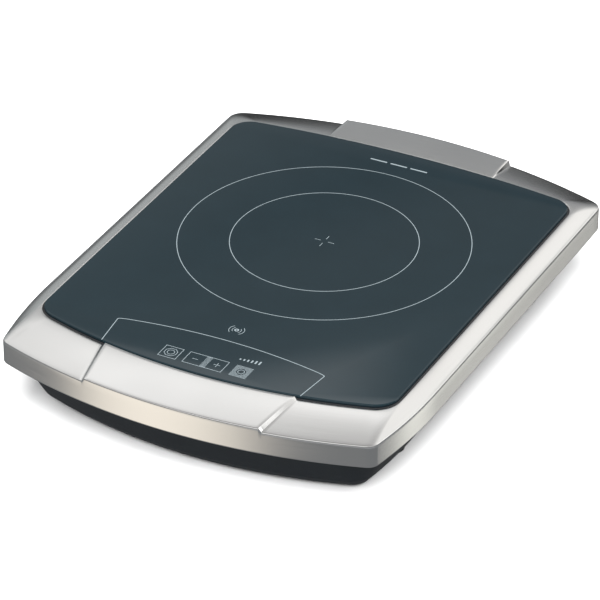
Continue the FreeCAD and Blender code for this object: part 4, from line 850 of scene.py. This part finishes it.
# One look for each slot of the record. Moulded parts state their dark and pale colour, fineness of grain and
# roughness, then where it differs the grain's depth and the shine. Metals state colours, roughness and marks.
LOOKS = {
    "brushed_steel": brushed_steel(),
    "ceramic_glass": ceramic_glass(),
    "seal_silicone": moulded("dark_silicone", (0.006, 0.006, 0.007), (0.011, 0.011, 0.012),
                             1500.0, (0.38, 0.5), 0.2),
    "base_plastic": moulded("anthracite_plastic", (0.0032, 0.0056, 0.0080), (0.0054, 0.0086, 0.0118),
                            2200.0, (0.45, 0.62), 0.35, 0.3),
    "foot_rubber": moulded("foot_rubber", even(0.010), even(0.022), 1800.0, (0.65, 0.85), 0.5),
    "screw_steel": metal("plated_screw", (0.42, 0.42, 0.44), (0.62, 0.62, 0.64), (0.22, 0.4)),
    "bracket_steel": metal("plain_sheet", even(0.40), (0.58, 0.58, 0.57), (0.3, 0.5), (60.0, 1800.0, 60.0)),
    "copper_litz": wound_copper(),
    "mica": moulded("mica_sheet", (0.42, 0.36, 0.22), (0.66, 0.58, 0.40), 260.0, (0.25, 0.45), 0.3),
    "carrier_plastic": moulded("carrier_plastic", even(0.018), even(0.045), 1200.0, (0.45, 0.65)),
    "ferrite": moulded("ferrite", (0.025, 0.025, 0.027), (0.07, 0.07, 0.072), 900.0, (0.45, 0.7), 0.5),
    "aluminium": metal("mill_aluminium", (0.62, 0.63, 0.64), (0.82, 0.83, 0.84), (0.28, 0.42),
                       (1600.0, 40.0, 40.0)),
    "circuit_board": circuit_board(),
    "component_black": moulded("black_case", (0.010, 0.010, 0.011), (0.024, 0.024, 0.025),
                               1600.0, (0.4, 0.6)),
    "component_grey": moulded("grey_case", (0.22, 0.22, 0.21), (0.34, 0.34, 0.33), 1600.0, (0.4, 0.6)),
    "component_yellow": moulded("film_capacitor", (0.50, 0.33, 0.03), (0.66, 0.46, 0.06),
                                700.0, (0.15, 0.28), 0.1),
    "fuse_glass": clear_part("fuse_tube", (0.80, 0.85, 0.85), 0.8),
    "lead_red": moulded("red_insulation", (0.32, 0.02, 0.015), (0.46, 0.035, 0.025),
                        900.0, (0.3, 0.45), 0.15),
    "lead_grey": moulded("grey_insulation", (0.26, 0.26, 0.27), (0.38, 0.38, 0.39),
                         900.0, (0.35, 0.5), 0.15),
    "fan_plastic": moulded("fan_plastic", (0.012, 0.012, 0.013), (0.028, 0.028, 0.030),
                           1400.0, (0.35, 0.55)),
    "bearing_brass": metal("sintered_bronze", (0.42, 0.27, 0.09), (0.62, 0.43, 0.18),
                           (0.35, 0.55), even(900.0)),
    "spring_steel": metal("spring_wire", (0.45, 0.45, 0.46), (0.68, 0.68, 0.69), (0.18, 0.32)),
    "lamp_red": clear_part("red_lamp", (0.60, 0.03, 0.02), 0.5),
}


def dress(thing, material):
    thing.data.materials.clear()
    thing.data.materials.append(material)


def dress_frame_nodes():
    """Every carried-over piece gets the look of its slot in the record."""
    for part in frame["record"]["subparts"]:
        dress(frame["nodes"][part["node"]], LOOKS[part["material_slot"]])


# ---------------------------------------------------------------- stage, light and camera

# The camera: the spot it looks at, its direction and distance from there, and its lens in millimetres.
AIM = Vector((21.8 * MM, ZONE_Y - 81.9 * MM, GLASS_HIGH.z))
AZIMUTH = 27.28
ELEVATION = 32.04
DISTANCE = 2.986
LENS = 246.0
SENSOR = 36.0
CLIP = (0.1, 40.0)

FLOOR_REACH = 12.0

# The key light, a large soft box at the front right, high up.
KEY_PLACE = Vector((0.85, -1.5, 2.6))
KEY_SIZE = 2.8
KEY_POWER = 330.0


def make_camera():
    back = direction(AZIMUTH, ELEVATION)
    data = bpy.data.cameras.new("camera")
    data.lens = LENS
    data.sensor_width = SENSOR
    data.clip_start, data.clip_end = CLIP
    made = bpy.data.objects.new("camera", data)
    bpy.context.scene.collection.objects.link(made)
    made.location = AIM + back * DISTANCE
    made.rotation_mode = "QUATERNION"
    made.rotation_quaternion = (-back).to_track_quat("-Z", "Y")
    bpy.context.scene.camera = made


def make_floor():
    """Pale floor that lights the part from below but isn't mirrored in it."""
    corners = [lifted(spot, 0) for spot in box_points(-FLOOR_REACH, -FLOOR_REACH, FLOOR_REACH, FLOOR_REACH)]
    floor = new_object("floor", corners, [(0, 1, 2, 3)], smooth=False)
    look = Look("pale_floor")
    grain = look.noise(even(40.0), 3.0)
    look.colour(grain, even(0.86), even(0.88))
    look.roughen(grain, 0.75, 0.85)
    floor.data.materials.append(look.material)
    floor.visible_glossy = False


# Brightness of the studio against height: (elevation in degrees, level).
SKY = ((-90, 0.25), (-22, 0.24), (-16, 0.60), (-10, 0.30), (-5, 0.03), (9, 0.04), (15, 0.25), (22, 0.39),
       (26, 0.33), (29.5, 0.29), (31.8, 0.42), (33.5, 0.42), (36, 0.52), (37.5, 1.1), (39, 1.55), (43, 1.55),
       (47, 1.0), (54, 0.60), (90, 0.30))

# Below this elevation, in degrees, the studio's light is slightly blue, by this share.
COOL_BELOW = 30
COOL = 0.04

# Soft patches in the surroundings: (azimuth from the front, elevation, inner and outer angle, colour).
PATCHES = (
    (-31, -29, 3, 23, (1.42, 1.32, 1.17)),
    (0, 34, 8, 26, (1.5, 1.5, 1.5)),
    (168, 39, 10, 26, (1.33, 1.32, 1.30)),
    (158, -30, 12, 30, (0.34, 0.34, 0.335)),
    (145, -31, 2, 9, (1.6, 1.6, 1.5)),
    (129, 27, 7, 12, (2.6, 2.6, 2.6)),
    (224, 17, 5, 22, (0.50, 0.53, 0.54)),
)


def direction(azimuth, elevation):
    """Unit vector: azimuth 0 is the front, 90 the right."""
    turn = math.radians(azimuth)
    lift = math.radians(elevation)
    return Vector((math.sin(turn) * math.cos(lift), -math.cos(turn) * math.cos(lift), math.sin(lift)))


def make_world():
    """Studio surroundings: brightest in a band about 40 degrees up, dimmer overhead, dark at the horizon.

    A few soft patches lie over that."""
    world = bpy.data.worlds.new("studio")
    bpy.context.scene.world = world
    world.use_nodes = True
    tree = world.node_tree
    tree.nodes.clear()
    where = tree.nodes.new("ShaderNodeTexCoord").outputs["Generated"]
    split = tree.nodes.new("ShaderNodeSeparateXYZ")
    tree.links.new(where, split.inputs["Vector"])
    height = tree.nodes.new("ShaderNodeMapRange")
    height.inputs["From Min"].default_value = -1.0
    height.inputs["From Max"].default_value = 1.0
    tree.links.new(split.outputs["Z"], height.inputs["Value"])
    ramp = tree.nodes.new("ShaderNodeValToRGB")
    elements = ramp.color_ramp.elements
    while len(elements) < len(SKY):
        elements.new(0.5)
    for element, (elevation, level) in zip(elements, SKY):
        element.position = (math.sin(math.radians(elevation)) + 1) / 2
        cool = COOL if elevation < COOL_BELOW else 0.0
        element.color = (level * (1 - cool), level, level * (1 + cool), 1)
    tree.links.new(height.outputs["Result"], ramp.inputs["Fac"])
    colour = ramp.outputs["Color"]
    for azimuth, elevation, inner, outer, tint in PATCHES:
        towards = tree.nodes.new("ShaderNodeVectorMath")
        towards.operation = "DOT_PRODUCT"
        towards.inputs[1].default_value = direction(azimuth, elevation)
        tree.links.new(where, towards.inputs[0])
        soft = tree.nodes.new("ShaderNodeMapRange")
        soft.interpolation_type = "SMOOTHSTEP"
        soft.inputs["From Min"].default_value = math.cos(math.radians(outer))
        soft.inputs["From Max"].default_value = math.cos(math.radians(inner))
        tree.links.new(towards.outputs["Value"], soft.inputs["Value"])
        blend = tree.nodes.new("ShaderNodeMix")
        blend.data_type = "RGBA"
        blend.inputs["B"].default_value = (*tint, 1)
        tree.links.new(soft.outputs["Result"], blend.inputs["Factor"])
        tree.links.new(colour, blend.inputs["A"])
        colour = blend.outputs["Result"]
    background = tree.nodes.new("ShaderNodeBackground")
    tree.links.new(colour, background.inputs["Color"])
    output = tree.nodes.new("ShaderNodeOutputWorld")
    tree.links.new(background.outputs["Background"], output.inputs["Surface"])


def make_key_light():
    """Soft box aimed at the floor under the part's middle, and not mirrored in the part."""
    data = bpy.data.lights.new("key_light", "AREA")
    data.shape = "SQUARE"
    data.size = KEY_SIZE
    data.energy = KEY_POWER
    made = bpy.data.objects.new("key_light", data)
    bpy.context.scene.collection.objects.link(made)
    made.location = KEY_PLACE
    made.rotation_mode = "QUATERNION"
    made.rotation_quaternion = (-KEY_PLACE).to_track_quat("-Z", "Y")
    made.visible_glossy = False


# ---------------------------------------------------------------- build

make_camera()
dress_frame_nodes()
dress(make_frame(), LOOKS["brushed_steel"])
dress(make_glass(), LOOKS["ceramic_glass"])
dress(make_seal(), LOOKS["seal_silicone"])
ENAMEL = print_enamel()
for maker in (make_zone_print, make_panel_print, make_symbol_print, make_touch_mark):
    dress(maker(), ENAMEL)
make_floor()
make_world()
make_key_light()
bpy.context.scene.view_settings.view_transform = "Standard"
